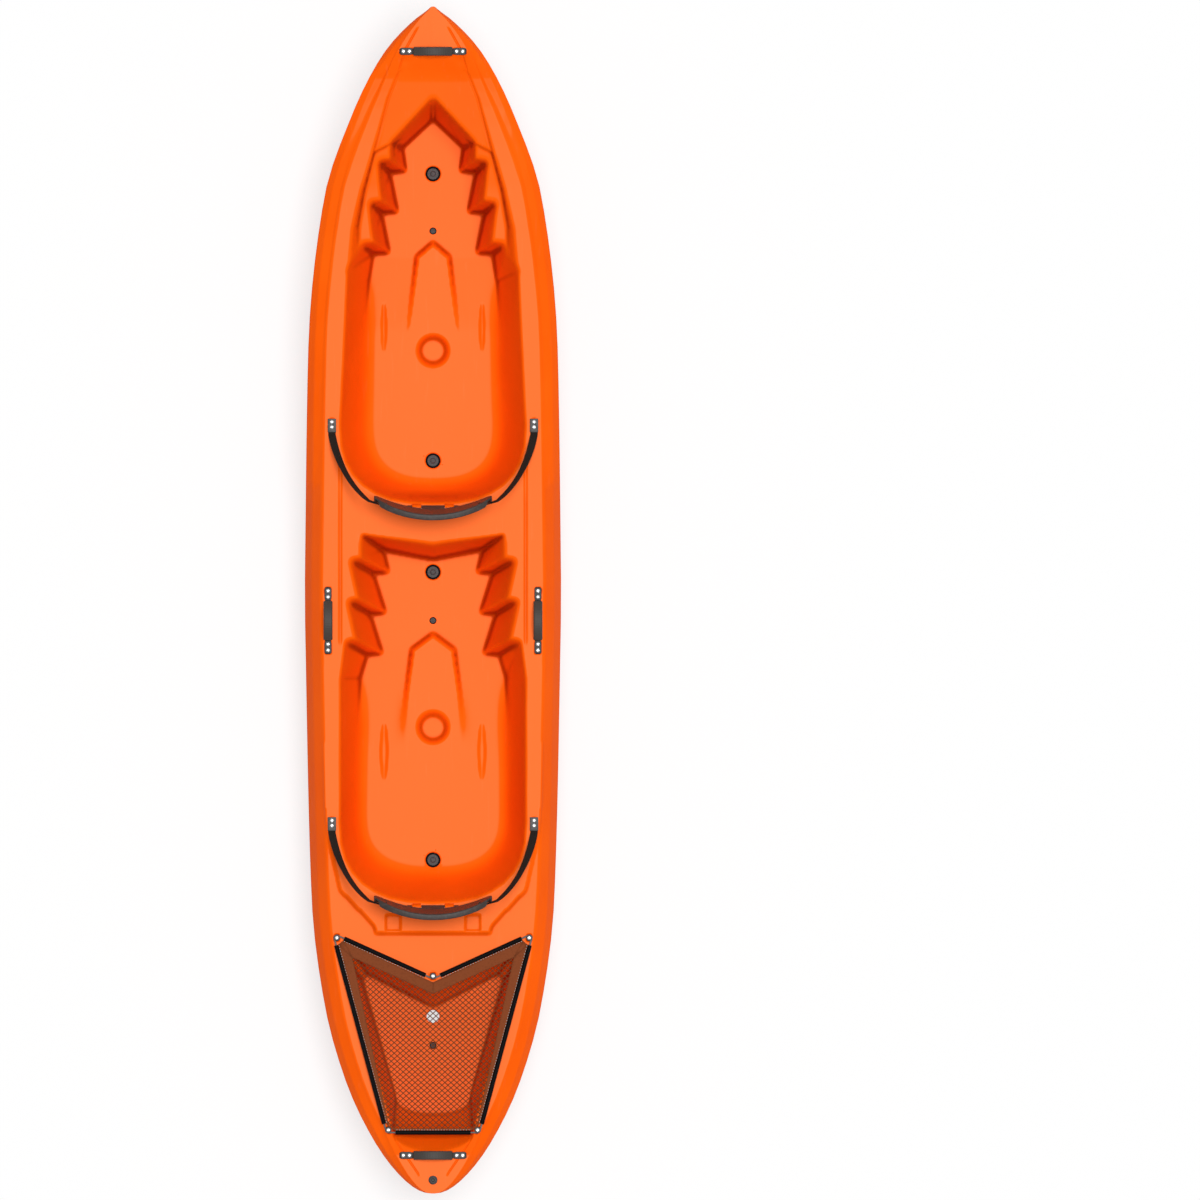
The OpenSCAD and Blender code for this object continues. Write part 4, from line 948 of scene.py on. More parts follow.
def makeDrainBush(centre, deck):
    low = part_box("drain_bush")[0]
    outer, flange = headRadius("drain_bush"), drainLook["flange"]
    bore, stem = drainLook["bore"], drainPlace[2] - drainLook["stemGap"]
    bottom = low.z - deck
    loop = [(bore, bottom), (stem, bottom), (stem, 0), (outer, 0), (outer, 0.0016), (outer - 0.0016, flange),
            (bore, flange), (bore, bottom)]
    bm = bmesh.new()
    turned(bm, eased(loop, drainLook["bend"]), (centre.x, centre.y, deck))
    bmesh.ops.remove_doubles(bm, verts=bm.verts, dist=1e-6)
    newPiece("drainBushLook", finishMesh(bm, "drainBush"), fittingBlack, "kayak", "fitting_plastic",
             "drain_bush")


def makeDrainPlug(centre, deck):
    low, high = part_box("drain_plug")
    knob, top = headRadius("drain_plug"), high.z - deck
    base = top - drainLook["knobHeight"]
    # Radius, height and whether the lobes show
    levels = [(0.0070, low.z - deck, 0), (0.0072, base, 0), (knob - 0.002, base, 0),
              (knob - 0.0006, base + 0.0008, 1), (knob - 0.0004, top - 0.0022, 1),
              (knob - 0.0014, top - 0.0008, 1), (knob - 0.004, top - 0.0002, 0), (0.0052, top - 0.0004, 0),
              (0.0046, top - 0.0024, 0), (0.0012, top - 0.0026, 0)]
    steps = drainLook["steps"]
    bm = bmesh.new()
    rings = []
    for radius, z, lobed in levels:
        ring = []
        for k in range(steps):
            a = 2 * math.pi * k / steps
            r = radius - lobed * drainLook["lobeDepth"] * (0.5 + 0.5 * math.cos(a * drainLook["lobes"]))
            ring.append(bm.verts.new((centre.x + r * math.cos(a), centre.y + r * math.sin(a), deck + z)))
        rings.append(ring)
    skinRings(bm, rings)
    newPiece("drainPlugLook", finishMesh(bm, "drainPlug"), fittingBlack, "drain_plug", "fitting_plastic",
             "drain_plug")


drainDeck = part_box("drain_bush")[1].z - drainLook["flange"]
makeDrainBush(middle("drain_bush"), drainDeck)
makeDrainPlug(middle("drain_bush"), drainDeck)
print("drain built")

# Carry handles: a thin band with two screwed tabs and an arched grip sleeve
handleLook = {"tab": 0.022, "band": 0.018, "thick": 0.004, "bandEdge": 0.0012, "rise": 0.033, "tip": 0.004,
              "tabGap": 0.004, "tabSteps": 8, "steps": 40,
              "gripLength": 0.125, "gripWide": 0.028, "gripThick": 0.012, "gripGap": math.radians(5.7),
              "gripSteps": 73, "gripRibs": 9, "ribDepth": 0.0005, "ribStart": 0.012, "collar": 0.0006,
              "collarSpan": (0.002, 0.007), "taper": 0.0012, "taperLength": 0.0015, "slack": 0.0006,
              "gripEdge": 0.0052}


# Sweep a closed section along a line of (place, side, up) frames
def swept(bm, frames, section):
    rings = []
    for i, (p, side, up) in enumerate(frames):
        rings.append([bm.verts.new(p + side * u + up * v) for u, v in section(i)])
    skinRings(bm, rings)


def roundedBar(wide, thick, edge, steps=3):
    return [tuple(p) for p in roundedOutline(oblong(wide, thick), edge, steps)]


def bandWidth(s, half, end):
    tip, fromEnd = handleLook["tip"], end - abs(s)
    onBand = 1 - smoothStep(half - 0.002, half + 0.012, np.float64(abs(s)))
    wide = handleLook["tab"] - (handleLook["tab"] - handleLook["band"]) * onBand
    if fromEnd < tip:  # rounded tips
        wide -= 2 * (tip - math.sqrt(max(0.0, tip ** 2 - (tip - fromEnd) ** 2)))
    return wide


def gripSize(t, length):
    look = handleLook
    fromEnd = min(t, 1 - t) * length
    low, high = look["collarSpan"]
    collar = look["collar"] if low < fromEnd < high else 0.0
    taper = look["taper"] * max(0.0, 1 - fromEnd / look["taperLength"])
    rib = 0.0
    if fromEnd > look["ribStart"]:
        rib = look["ribDepth"] * (0.5 - 0.5 * math.cos(2 * math.pi * look["gripRibs"] * t * 2))
    return (look["gripWide"] - 2 * taper - 2 * rib * 0.4 - look["slack"] + collar,
            look["gripThick"] - 2 * taper - 2 * rib - look["slack"] + collar)


def makeHandle(name):
    low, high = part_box(name + "_handle")
    centre = (low + high) / 2
    foreAndAft = (high.x - low.x) < (high.y - low.y)
    run = Vector((0, 1, 0)) if foreAndAft else Vector((1, 0, 0))
    side = Vector((-1, 0, 0)) if foreAndAft else Vector((0, 1, 0))
    end = max(high.x - low.x, high.y - low.y) / 2
    foot = Vector((centre.x, centre.y, low.z))
    half, rise = handleLook["gripLength"] / 2, handleLook["rise"]
    radius = (half * half + rise * rise) / (2 * rise)
    sweep = math.asin(half / radius)
    lift = handleLook["thick"] / 2

    def frameAt(s, z, a):
        up = upward * math.cos(a) + run * math.sin(a)
        return foot + run * s + Vector((0, 0, z)), side, up

    def onArch(a):
        return radius * math.sin(a), lift + rise - radius + radius * math.cos(a), a

    tab = np.linspace(half + handleLook["tabGap"], end, handleLook["tabSteps"])
    path = [(-s, lift, 0.0) for s in tab[::-1]]
    path += [onArch(a) for a in np.linspace(-sweep, sweep, handleLook["steps"])]
    path += [(s, lift, 0.0) for s in tab]
    widths = [bandWidth(s, half, end) for s, _, _ in path]
    bm = bmesh.new()
    swept(bm, [frameAt(*p) for p in path],
          lambda i: roundedBar(widths[i], handleLook["thick"], handleLook["bandEdge"]))
    newPiece(name + "HandleBand", finishMesh(bm, name + "Band"), bandBlack, "kayak", "band_plastic",
             name + "_handle")

    gripSweep = sweep - handleLook["gripGap"]
    shares = [k / (handleLook["gripSteps"] - 1) for k in range(handleLook["gripSteps"])]
    sizes = [gripSize(t, 2 * gripSweep * radius) for t in shares]
    bm = bmesh.new()
    swept(bm, [frameAt(*onArch(gripSweep * (2 * t - 1))) for t in shares],
          lambda i: roundedBar(*sizes[i], handleLook["gripEdge"], 6))
    newPiece(name + "GripLook", finishMesh(bm, name + "Grip"), gripGrey, "kayak", "grip_plastic",
             name + "_grip")


for name in ("bow", "stern", "port", "starboard"):
    makeHandle(name)
print("handles built")

# Fitting copied from its CAD solid, with its flat faces joined and its edges rounded
copyLook = {"flat": math.radians(3), "sharp": math.radians(35), "shaded": math.radians(40),
            "anchorEdge": 0.0012, "buckleEdge": 0.0008, "screwEdge": 0.0004}


def roundedCopy(node, name, material, body, slot, edge):
    bm = bmesh.new()
    bm.from_mesh(frame["nodes"][node].data)
    bmesh.ops.remove_doubles(bm, verts=bm.verts, dist=1e-5)
    bmesh.ops.dissolve_limit(bm, angle_limit=copyLook["flat"], verts=bm.verts, edges=bm.edges)
    sharp = [e for e in bm.edges if len(e.link_faces) == 2 and e.calc_face_angle() > copyLook["sharp"]]
    bmesh.ops.bevel(bm, geom=sharp, offset=edge, segments=2, profile=0.5, affect="EDGES", clamp_overlap=True)
    piece = newPiece(name, finishMesh(bm, name), material, body, slot, node)
    piece.data.set_sharp_from_angle(angle=copyLook["shaded"])


# Anchor plates: rounded plates with a raised strap loop over the pocket
for place in ("front", "rear"):
    roundedCopy(place + "_strap_anchors", place + "StrapAnchors", fittingBlack, "kayak", "fitting_plastic",
                copyLook["anchorEdge"])
print("strap anchors built")

# Backrests: a dished panel with a turned-back rim, a hinge tongue and two outer knuckles
backLook = {
    "halfWidth": 0.184, "low": 0.014, "high": 0.166, "squareness": 0.8, "curve": 0.360,
    "lean": math.radians(7), "thick": 0.005, "flange": 0.018, "steps": 128,
    "slotAcross": 0.145, "slotHeight": 0.114, "slotWide": 0.005, "slotTall": 0.028, "slotRound": 0.0024,
    "notch": 0.015, "notchFrom": 0.12, "notchShare": 0.97,
    "knuckle": 0.009, "knuckleTurn": (168, 388), "knuckleSteps": 22, "knuckleWidth": 0.014,
    "outerKnuckle": 0.0659, "tongue": 0.0358, "hingeEdge": 0.001,
    "ribs": (-0.09, -0.045, 0.0, 0.045, 0.09), "rib": 0.0016, "ribSpan": (0.034, 0.146),
    "ribDepths": (0.0045, 0.0105), "ribRound": 0.0015, "ribEdge": 0.0008,
}


def backPlace(pin):
    turn = Matrix.Rotation(backLook["lean"], 4, "X")
    return lambda x, y, z: pin + turn @ Vector((x, y, z))


def onBack(x, depth):
    r = backLook["curve"] + depth
    return backLook["curve"] - math.sqrt(r * r - x * x)


def ovalPoint(angle):
    tall = (backLook["high"] - backLook["low"]) / 2
    squared = lambda value: math.copysign(abs(value) ** backLook["squareness"], value)
    return Vector((backLook["halfWidth"] * squared(math.cos(angle)), tall * squared(math.sin(angle))))


# Section from the middle of the front face, over the rim, to the middle of the back: (share, inset, depth)
def backSection():
    thick, flange = backLook["thick"], backLook["flange"]
    front = [(s, 0, 0) for s in (0.12, 0.25, 0.4, 0.55, 0.68, 0.78, 0.86, 0.92)]
    rim = [(0.011, 0.0), (0.008, -0.0008), (0.005, -0.0008), (0.0025, 0.0), (0.0008, 0.0012), (0, 0.0032),
           (0, 0.008), (0, flange - 0.003), (0.0007, flange - 0.0008), (0.0022, flange),
           (0.0038, flange - 0.0006), (0.0046, flange - 0.003), (0.0052, thick + 0.003), (0.0075, thick)]
    back = [(s, 0, thick) for s in (0.9, 0.82, 0.7, 0.55, 0.4, 0.25, 0.12)]
    return front + [(1, inset, depth) for inset, depth in rim] + back


def backShell(name, place):
    mid = (backLook["high"] + backLook["low"]) / 2
    thick, notch, steps = backLook["thick"], backLook["notch"], backLook["steps"]
    bm = bmesh.new()

    def pointAt(angle, share, inset, depth):
        p = ovalPoint(angle) * share
        if inset:
            p = p * (1 - inset / p.length)
        z = mid + p.y
        if depth > thick:  # notch in the rim for the strap
            fromSlot = np.float64(abs(z - backLook["slotHeight"]))
            gap = 1 - smoothStep(notch - 0.002, notch + 0.003, fromSlot)
            gap = float(gap) * (abs(p.x) > backLook["notchFrom"])
            depth = thick + (depth - thick) * (1 - backLook["notchShare"] * gap)
        return place(p.x, onBack(p.x, depth), z)

    rings = []
    for row in backSection():
        rings.append([bm.verts.new(pointAt(2 * math.pi * k / steps, *row)) for k in range(steps)])
    for a, b in zip(rings, rings[1:]):
        joinRings(bm, a, b)
    for ring, depth in ((rings[0], 0), (rings[-1], thick)):
        hub = bm.verts.new(place(0, onBack(0, depth), mid))
        for k in range(steps):
            bm.faces.new((ring[k], ring[(k + 1) % steps], hub))
    return finishMesh(bm, name + "Shell")


# Strap slots are cut through the wings
def slotCutter(place):
    bm = bmesh.new()
    outline = roundedOutline(oblong(backLook["slotWide"], backLook["slotTall"]), backLook["slotRound"])
    across, height = backLook["slotAcross"], backLook["slotHeight"]
    for side in (-1, 1):
        softBlock(bm, outline, -0.03, 0.03, 0.0001,
                  lambda u, v, w: place(side * (across + u), onBack(across, 0) + w, height + v))
    cutter = bpy.data.objects.new("slotCutter", finishMesh(bm, "slotCutter"))
    scene.collection.objects.link(cutter)
    return cutter


# Hinge tongue and outer knuckles, turned round the pin and blended up into the panel, and stiffening ribs
def backHinge(place):
    bm = bmesh.new()
    r, edge = backLook["knuckle"], backLook["hingeEdge"]
    first, last = backLook["knuckleTurn"]
    bends = np.linspace(math.radians(first), math.radians(last), backLook["knuckleSteps"])
    around = [(r * math.cos(a), r * math.sin(a)) for a in bends]
    tongue = around + [(0.0005, 0.020), (-0.0005, 0.040), (-0.0052, 0.040), (-0.0056, 0.020)]
    onPin = lambda u, v, w: place(w, u, v)
    softBlock(bm, tongue, -backLook["tongue"], backLook["tongue"], edge, onPin)
    inner = backLook["outerKnuckle"]
    lean = onBack(inner + backLook["knuckleWidth"] / 2, 0)
    ear = around + [(lean + 0.0005, 0.022), (lean, 0.036), (lean - 0.006, 0.036), (-0.0064, 0.018)]
    for side in (-1, 1):
        low, high = sorted((side * inner, side * (inner + backLook["knuckleWidth"])))
        softBlock(bm, ear, low, high, edge, onPin)
    low, high = backLook["ribSpan"]
    half = backLook["rib"]
    rib = roundedOutline([(-half, low), (half, low), (half, high), (-half, high)], backLook["ribRound"])
    for x in backLook["ribs"]:
        softBlock(bm, rib, *backLook["ribDepths"], backLook["ribEdge"],
                  lambda u, v, w: place(x + u, onBack(x, w), v))
    return bm


def makeBackrest(name, pin):
    place = backPlace(pin)
    piece = newPiece(name + "Shell", backShell(name, place), backrestBrown, None, "backrest_plastic")
    cutter = slotCutter(place)
    cut = piece.modifiers.new("slots", "BOOLEAN")
    cut.object = cutter
    cut.solver = "EXACT"
    bpy.context.view_layer.update()
    done = bpy.data.meshes.new_from_object(piece.evaluated_get(bpy.context.evaluated_depsgraph_get()))
    piece.modifiers.clear()
    piece.data = done
    bpy.data.objects.remove(cutter)
    done.polygons.foreach_set("use_smooth", [True] * len(done.polygons))
    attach(piece, name)
    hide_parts(name)
    newPiece(name + "Hinge", finishMesh(backHinge(place), name + "Hinge"), backrestBrown, name,
             "backrest_plastic")


makeBackrest("front_backrest", frontPin)
makeBackrest("rear_backrest", rearPin)
for place in ("front", "rear"):
    roundedCopy(place + "_strap_buckles", place + "StrapBuckles", fittingBlack, place + "_backrest",
                "fitting_plastic", copyLook["buckleEdge"])
print("backrests built")

# Straps: flat webbing from the anchor's pocket, turning on edge up to the buckle
strapLook = {
    "wide": 0.022, "thick": 0.0018, "steps": 60, "bendFrom": 18, "bendTo": -4, "pocket": 0.011,
    "pocketAcross": 0.013, "pocketFloor": 0.0013, "pocketRun": 0.018, "offAnchor": (-0.15, -0.85, 0.45),
    "offWing": (0.7, 0.55, -0.35), "buckle": 0.00415, "wingReach": 0.012, "wingOut": 0.009,
    "pastSlot": math.radians(1), "faceShift": 0.05,
    "twist": ((0.04, 0.5, 0.93, 1.0), (0.0, 0.5, 0.68, 0.8)), "endTwist": [0.92, 1.0],  # in quarter turns
}


# Mesh with a yarnMap, for the weave of a strap or cord
def wovenMesh(name, points, faces, uvs):
    mesh = meshFrom(name, points, faces)
    layer = mesh.uv_layers.new(name="yarnMap")
    for loop in mesh.loops:
        layer.data[loop.index].uv = uvs[loop.vertex_index]
    bm = bmesh.new()
    bm.from_mesh(mesh)
    bmesh.ops.recalc_face_normals(bm, faces=bm.faces)
    bm.to_mesh(mesh)
    bm.free()
    return mesh


def strapRoute(pin, anchors):
    place = backPlace(pin)
    low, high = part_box(anchors)
    thick, curve = strapLook["thick"], backLook["curve"]
    behind = curve + backLook["thick"] + strapLook["buckle"] + thick

    def onWing(angle, out):
        r = behind + out
        return place(r * math.sin(angle), curve - r * math.cos(angle), backLook["slotHeight"])

    start = Vector((high.x - strapLook["pocketAcross"], low.y + strapLook["pocket"],
                    low.z + strapLook["pocketFloor"] + thick / 2))
    leave = start - Vector((0, strapLook["pocketRun"], 0))
    finish = onWing(math.asin(backLook["slotAcross"] / curve) - strapLook["pastSlot"], 0)
    wingEdge = backLook["halfWidth"] + strapLook["wingReach"]
    wing = onWing(math.asin(wingEdge / behind), strapLook["wingOut"])
    reach = (wing - leave).length / 3
    a, b = leave + Vector(strapLook["offAnchor"]) * reach, wing + Vector(strapLook["offWing"]) * reach
    route, turn = [start, (start + leave) / 2], [0.0, 0.0]
    for t in np.linspace(0, 1, strapLook["steps"]):
        t = float(t)
        s = 1 - t
        route.append(leave * s ** 3 + a * 3 * t * s ** 2 + b * 3 * t * t * s + wing * t ** 3)
        turn.append(float(np.interp(t, *strapLook["twist"])))
    return route + [(wing + finish) / 2, finish], turn + strapLook["endTwist"]


def makeStrap(node, pin, anchors, side):
    route, turn = strapRoute(pin, anchors)
    wide, thick = strapLook["wide"], strapLook["thick"]
    shares = (-0.5, -0.25, 0, 0.25, 0.5)
    section = [(u, -0.5) for u in shares] + [(0.53, 0)] + [(u, 0.5) for u in shares[::-1]] + [(-0.53, 0)]
    points, uvs, gone = [], [], 0.0
    for i, p in enumerate(route):
        along = (route[min(i + 1, len(route) - 1)] - route[max(i - 1, 0)]).normalized()
        level = Vector((-along.y, along.x, 0)).normalized()
        angle = math.pi / 2 * turn[i]
        across = level * math.cos(angle) - level.cross(along) * math.sin(angle)
        out = along.cross(across).normalized()
        gone += (p - route[i - 1]).length if i else 0.0
        for u, v in section:
            q = p + across * (u * wide) + out * (v * thick)
            points.append((q.x * side, q.y, q.z))
            uvs.append((gone, u * wide + (strapLook["faceShift"] if v > 0 else 0)))
    n = len(section)
    faces = gridFaces(len(route), n, closeColumns=True)
    faces += [tuple(range(n))[::-1], tuple(range((len(route) - 1) * n, len(route) * n))]
    mesh = wovenMesh(node, points, faces, uvs)
    piece = newPiece(node + "Webbing", mesh, strapWebbing, None, "webbing", node)
    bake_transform(piece)


for place, pin in (("front", frontPin), ("rear", rearPin)):
    for side, word in ((-1, "port"), (1, "starboard")):
        makeStrap(f"{place}_{word}_strap", pin, f"{place}_strap_anchors", side)
print("straps built")

# Cargo net: its plane, corners and edges are read from the buttons and the sleeves
netLook = {
    "cordHeight": 0.007, "cordRadius": 0.0025, "cordSides": 14, "cordBend": 0.16,
    "sleeveRadius": 0.0068, "sleeveSides": 28, "sleeveSteps": 12, "sleeveReach": 0.05,
    "inset": 0.0071, "nosePull": 0.0196, "across": 0.0186, "along": 0.0166, "fill": 0.6,
    "strand": 0.0027, "strandThick": 0.0011, "strandEnd": 0.004, "strandCount": 70, "weave": 0.00065,
    "sag": 0.004, "sagReach": 0.16,
    # hem widths follow the painted shade of the well walls under the net, widest at the front
    "hem": {"front": 0.036, "side": 0.034, "sideEnd": 0.006, "aft": 0.006}, "hemHalf": 0.0014, "hemSteps": 48,
    "stitchPitch": 0.0085, "stitchLength": 0.0042, "stitchRadius": 0.0006, "stitchSides": 8,
    "stitchInset": 0.0012, "stitchLift": 0.0001,
}


# Middles of the buttons' feet, from the port front corner round by the nose and the starboard side
def buttonOrder():
    places = []
    for island in nodeIslands("net_buttons"):
        low, high = island.min(0), island.max(0)
        places.append(Vector(((low[0] + high[0]) / 2, (low[1] + high[1]) / 2, low[2])))
    places.sort(key=lambda p: p.y)
    aft, nose, front = places[:2], places[2], places[3:]
    byX = lambda p: p.x
    return [min(front, key=byX), nose, max(front, key=byX), max(aft, key=byX), min(aft, key=byX)]


buttonPlaces = buttonOrder()
netStart = buttonPlaces[0]
netRate = (buttonPlaces[3].z - netStart.z) / (buttonPlaces[3].y - netStart.y)


def onNet(x, y, lift=0.0):
    return Vector((x, y, netStart.z + netLook["cordHeight"] + netRate * (y - netStart.y) + lift))


sleeveEnds = [Vector(((i.min(0) + i.max(0)) / 2)[:2]) for i in nodeIslands("net_sleeves")]
corners = [Vector(p[:2]) for p in buttonPlaces]


def cross2(a, b):
    return a.x * b.y - a.y * b.x


def runBetween(a, b):
    direction = (b - a).normalized()
    ends = []
    for corner in (a, b):
        near = [e for e in sleeveEnds if (e - corner).length < netLook["sleeveReach"]]
        ends.append(min(near, key=lambda e: abs(cross2(direction, e - a))))
    return ends


sleeveRuns = [runBetween(corners[i], corners[(i + 1) % 5]) for i in range(5)]


def directionOf(run):
    return (run[1] - run[0]).normalized()


def inwardOf(run):
    d = directionOf(run)
    return Vector((d.y, -d.x))


# Ends of a run, moved in from the sleeve by its inset and the two further widths
def movedIn(run, widths=(0.0, 0.0)):
    return [end + inwardOf(run) * (netLook["inset"] + w) for end, w in zip(run, widths)]


# The cord turns about each button and runs straight between them
def cordRoute():
    route = []
    for i, centre in enumerate(corners):
        into, out = sleeveRuns[i - 1], sleeveRuns[i]
        dIn, dOut = directionOf(into), directionOf(out)
        meet = into[0] + dIn * (centre - into[0]).dot(dIn)
        leave = out[0] + dOut * (centre - out[0]).dot(dOut)
        nextMeet = out[0] + dOut * (corners[(i + 1) % 5] - out[0]).dot(dOut)
        sense = 1 if cross2(dIn, centre - meet) > 0 else -1
        first = math.atan2(meet.y - centre.y, meet.x - centre.x)
        last = math.atan2(leave.y - centre.y, leave.x - centre.x)
        turn = ((last - first) * sense) % (2 * math.pi) * sense
        radius = (meet - centre).length
        steps = max(8, int(abs(turn) / netLook["cordBend"]))
        for k in range(steps + 1):
            a = first + turn * k / steps
            route.append(onNet(centre.x + radius * math.cos(a), centre.y + radius * math.sin(a)))
        for t in (0.02, 0.05, 0.1, 0.3, 0.5, 0.7, 0.9, 0.95, 0.98):
            route.append(onNet(*leave.lerp(nextMeet, t)))
    return route


def makeCord():
    route = cordRoute()
    count, sides = len(route), netLook["cordSides"]
    points, uvs, gone = [], [], 0.0
    for i, p in enumerate(route):
        along = (route[(i + 1) % count] - route[i - 1]).normalized()
        side = along.cross(upward).normalized()
        up = side.cross(along)
        gone += (p - route[i - 1]).length if i else 0.0
        for k in range(sides):
            a = 2 * math.pi * k / sides
            points.append(p + (side * math.cos(a) + up * math.sin(a)) * netLook["cordRadius"])
            uvs.append((gone, netLook["cordRadius"] * a))
    faces = gridFaces(count, sides, closeRows=True, closeColumns=True)
    newPiece("netEdgeCord", wovenMesh("netCord", points, faces, uvs), edgeBungee, "kayak", "edge_cord",
             "net_cord")


# Sleeves: soft tubes over the straight runs of the cord
def makeSleeves():
    bm = bmesh.new()
    r, steps = netLook["sleeveRadius"], netLook["sleeveSteps"]
    tip = [(0.0, r - 0.0022), (0.0, r - 0.0009), (0.0004, r - 0.0003), (0.0012, r)]
    for run in sleeveRuns:
        d, length = directionOf(run), (run[1] - run[0]).length
        stops = tip + [(length * k / steps, r) for k in range(1, steps)]
        stops += [(length - s, radius) for s, radius in tip[::-1]]
        frames = [(onNet(*(run[0] + d * s)), Vector((d.y, -d.x, 0)), upward) for s, _ in stops]
        swept(bm, frames, lambda i: circle(netLook["sleeveSides"], stops[i][1]))
    newPiece("netSleeveTubes", finishMesh(bm, "netSleeves"), sleeveBlack, "kayak", "sleeve_tube",
             "net_sleeves")


# Buttons: a flanged foot, a waist for the cord and a flat head under the screw
buttonLook = {"foot": 0.010, "waist": 0.005, "head": 0.009, "height": 0.014, "bend": 0.0007, "steps": 40}


def makeButtons():
    bm = bmesh.new()
    foot, waist, head, top = (buttonLook[k] for k in ("foot", "waist", "head", "height"))
    profile = [(0, 0), (foot, 0), (foot, 0.003), (waist + 0.0002, 0.0045), (waist, 0.0095), (head, 0.011),
               (head, top), (0, top)]
    for p in buttonPlaces:
        turned(bm, eased(profile, buttonLook["bend"]), p, buttonLook["steps"])
    newPiece("netButtonsLook", finishMesh(bm, "netButtons"), fittingBlack, "kayak", "fitting_plastic",
             "net_buttons")


makeCord()
makeSleeves()
makeButtons()
print("net cord, sleeves and buttons built")


# Outline of the cloth beside the sleeves, and the inner line of its hem, a brown band that also stands in for
# painted shade of the well walls under the net
def netOutline():
    points = []
    for run in sleeveRuns:
        points += movedIn(run)
    points.insert(2, corners[1] - Vector((0, netLook["nosePull"])))
    return points


def hemAndShadeLines():
    hem = netLook["hem"]
    widths = [(hem["front"],) * 2, (hem["front"],) * 2, (hem["side"], hem["sideEnd"]), (hem["aft"],) * 2,
              (hem["sideEnd"], hem["side"])]
    return [movedIn(run, pair) for run, pair in zip(sleeveRuns, widths)]


def meetOf(first, second):
    a, b = first[0], first[1] - first[0]
    c, d = second[0], second[1] - second[0]
    return a + b * (cross2(c - a, d) / cross2(b, d))


innerLines = hemAndShadeLines()
innerCorners = [meetOf(innerLines[i - 1], innerLines[i]) for i in range(5)]
outline = netOutline()


def insideDepth(x, y):
    p = Vector((x, y))
    runs = [sleeveRuns[0] if x < 0 else sleeveRuns[1]] + sleeveRuns[2:]
    return min((p - r[0]).dot(inwardOf(r)) for r in runs)


def clothPoint(x, y, lift):
    sunk = float(smoothStep(0.0, netLook["sagReach"], np.float64(insideDepth(x, y))))
    return onNet(x, y, lift - netLook["sag"] * sunk)


def clipped(start, direction, polygon):
    cuts = []
    for i, a in enumerate(polygon):
        b = polygon[(i + 1) % len(polygon)]
        base = cross2(direction, b - a)
        if abs(base) < 1e-12:
            continue
        s = cross2(a - start, direction) / base
        if 0 <= s < 1:
            cuts.append(cross2(a - start, b - a) / base)
    cuts.sort()
    return list(zip(cuts[::2], cuts[1::2]))


# Strands in two slanting families, each passing over and under the other
def addStrands(bm):
    dx, dy = netLook["across"] / 2, netLook["along"] / 2
    side = math.hypot(dx, dy)
    wide, thick = netLook["strand"] / 2, netLook["strandThick"] / 2
    flat = 0.6 * wide
    section = [(-wide, 0), (-flat, -thick), (flat, -thick), (wide, 0), (flat, thick), (-flat, thick)]
    centre = sum(innerCorners, Vector((0, 0))) / 5
    region = [c + (c - centre).normalized() * netLook["strandEnd"] for c in innerCorners]
    for family in (1, -1):
        direction = Vector((family * dx, dy)) / side
        acrossStrand = Vector((direction.y, -direction.x, 0))
        for k in range(-netLook["strandCount"], netLook["strandCount"] + 1):
            start = corners[1] + Vector((2 * dx * k, 0))
            for low, high in clipped(start, direction, region):
                first, last = math.ceil(low / side * 2), math.floor(high / side * 2)
                stops = [low] + [h * side / 2 for h in range(first, last + 1)] + [high]
                frames = []
                for s in stops:
                    wave = family * math.cos(math.pi * (s / side + k)) * netLook["weave"]
                    frames.append((clothPoint(*(start + direction * s), wave), acrossStrand, upward))
                swept(bm, frames, lambda i: section)


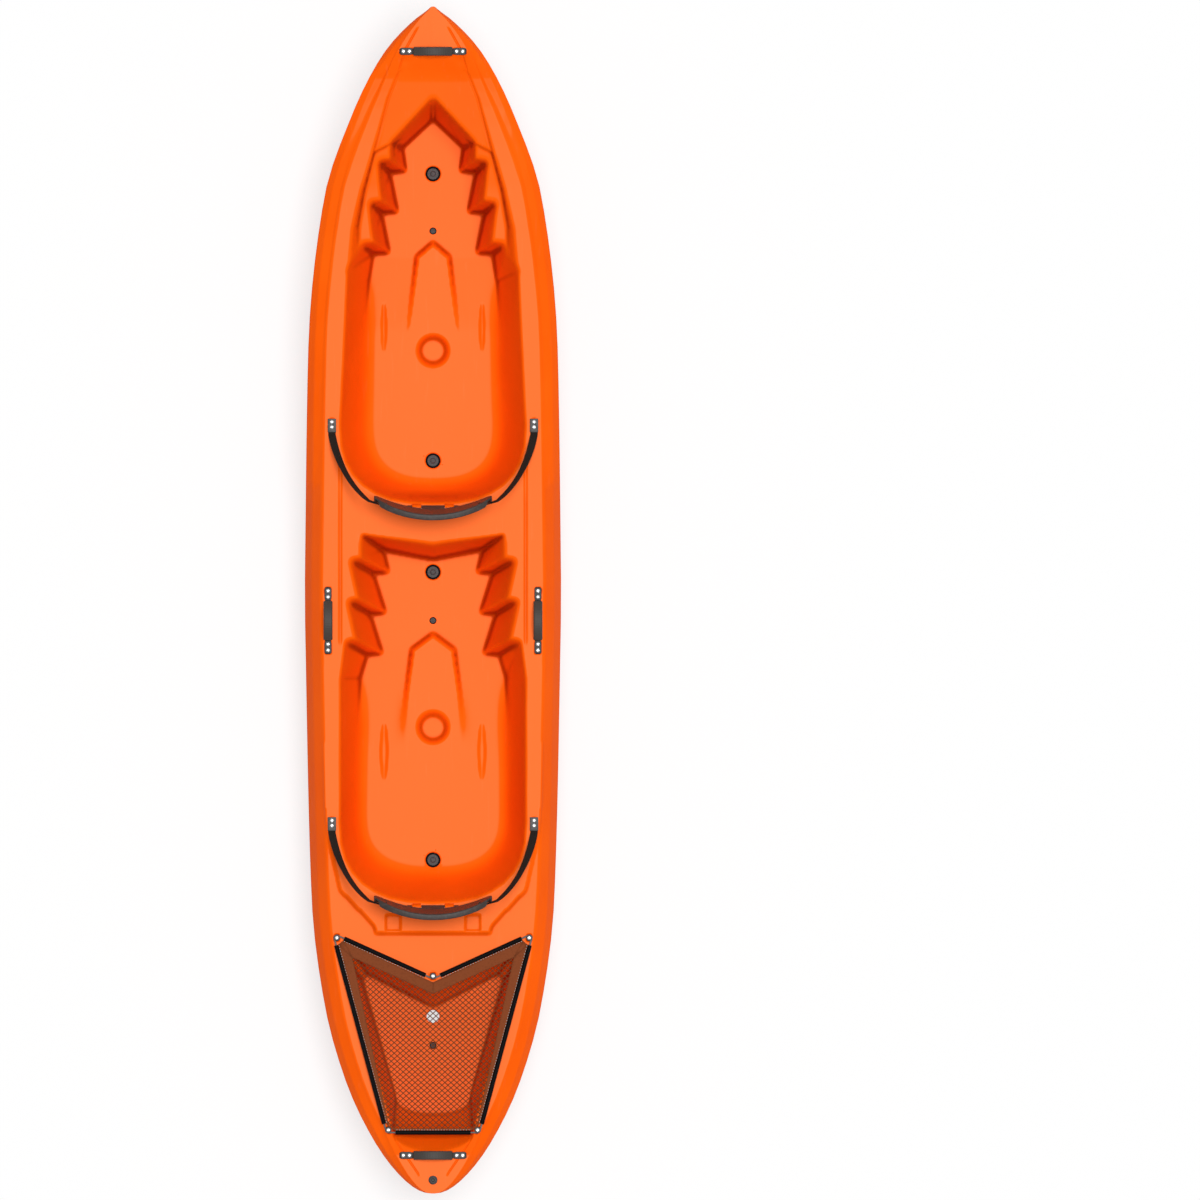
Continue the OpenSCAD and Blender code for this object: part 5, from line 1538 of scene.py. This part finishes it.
# Hem band along the edges; its brown also stands in for painted shade of the well walls under the net
def addHemAndShadeBand(bm):
    half, steps = netLook["hemHalf"], netLook["hemSteps"]
    section = [(0, -half), (0, half), (0.25, half), (0.5, half), (0.75, half), (0.97, half), (1, 0.3 * half),
               (1, -half), (0.5, -half)]
    for i, run in enumerate(sleeveRuns):
        outerEnds = movedIn(run)
        if i < 2:  # the two front edges meet at the nose
            outerEnds[1 - i] = outline[2]
        innerEnds = [innerCorners[i], innerCorners[(i + 1) % 5]]
        rings = []
        for k in range(steps + 1):
            a, b = (ends[0].lerp(ends[1], k / steps) for ends in (outerEnds, innerEnds))
            rings.append([bm.verts.new(clothPoint(*a.lerp(b, s), lift)) for s, lift in section])
        skinRings(bm, rings)
    for i in (0, 2, 3, 4):  # corner patches between two sleeves
        patch = [movedIn(sleeveRuns[i - 1])[1], movedIn(sleeveRuns[i])[0], innerCorners[i]]
        skinRings(bm, [[bm.verts.new(clothPoint(*p, lift)) for p in patch] for lift in (-half, half)])


bm = bmesh.new()
addStrands(bm)
strandFaces = len(bm.faces)
addHemAndShadeBand(bm)
bm.faces.index_update()
for face in bm.faces:
    face.material_index = 0 if face.index < strandFaces else 1
netMesh = finishMesh(bm, "cargoNet")
netPiece = newPiece("cargoNetCloth", netMesh, netBrown, "kayak", "net_mesh", "cargo_net")
netMesh.materials.append(hemAndShadeBrown)
print("net built with", len(netMesh.vertices), "points")


# Pale stitches where the cloth meets the sleeves
def makeStitches():
    bm = bmesh.new()
    shape = ((-0.5, 0.3), (-0.4, 0.8), (-0.2, 1), (0.2, 1), (0.4, 0.8), (0.5, 0.3))
    sizes = [share * netLook["stitchRadius"] for _, share in shape]
    lift = netLook["hemHalf"] + netLook["stitchLift"]
    for run in sleeveRuns:
        d, inward, length = directionOf(run), inwardOf(run), (run[1] - run[0]).length
        start = run[0] + inward * (netLook["inset"] + netLook["stitchInset"])
        count = int(length / netLook["stitchPitch"])
        for k in range(count):
            at = (k + 0.5) / count * length
            places = [start + d * (at + s * netLook["stitchLength"]) for s, _ in shape]
            frames = [(clothPoint(p.x, p.y, lift), Vector((inward.x, inward.y, 0)), upward) for p in places]
            swept(bm, frames, lambda i: circle(netLook["stitchSides"], sizes[i]))
    newPiece("netStitches", finishMesh(bm, "netStitches"), stitchThread, "kayak", "edge_cord")


makeStitches()
print("stitches built")

# Screws and hinge pins are smooth copies of their CAD solids; the inserts and the seal keep theirs
for node, label in (("handle_screws", "handleScrews"), ("strap_screws", "strapScrews"),
                    ("net_screws", "netScrews"), ("front_hinge_pin", "frontHingePin"),
                    ("rear_hinge_pin", "rearHingePin")):
    roundedCopy(node, label, screwSteel, "kayak", "screw_steel", copyLook["screwEdge"])
for node, material in (("threaded_inserts", insertBrass), ("drain_seal", plugRubber)):
    data = frame["nodes"][node].data
    data.materials.clear()
    data.materials.append(material)
print("screws and pins built")
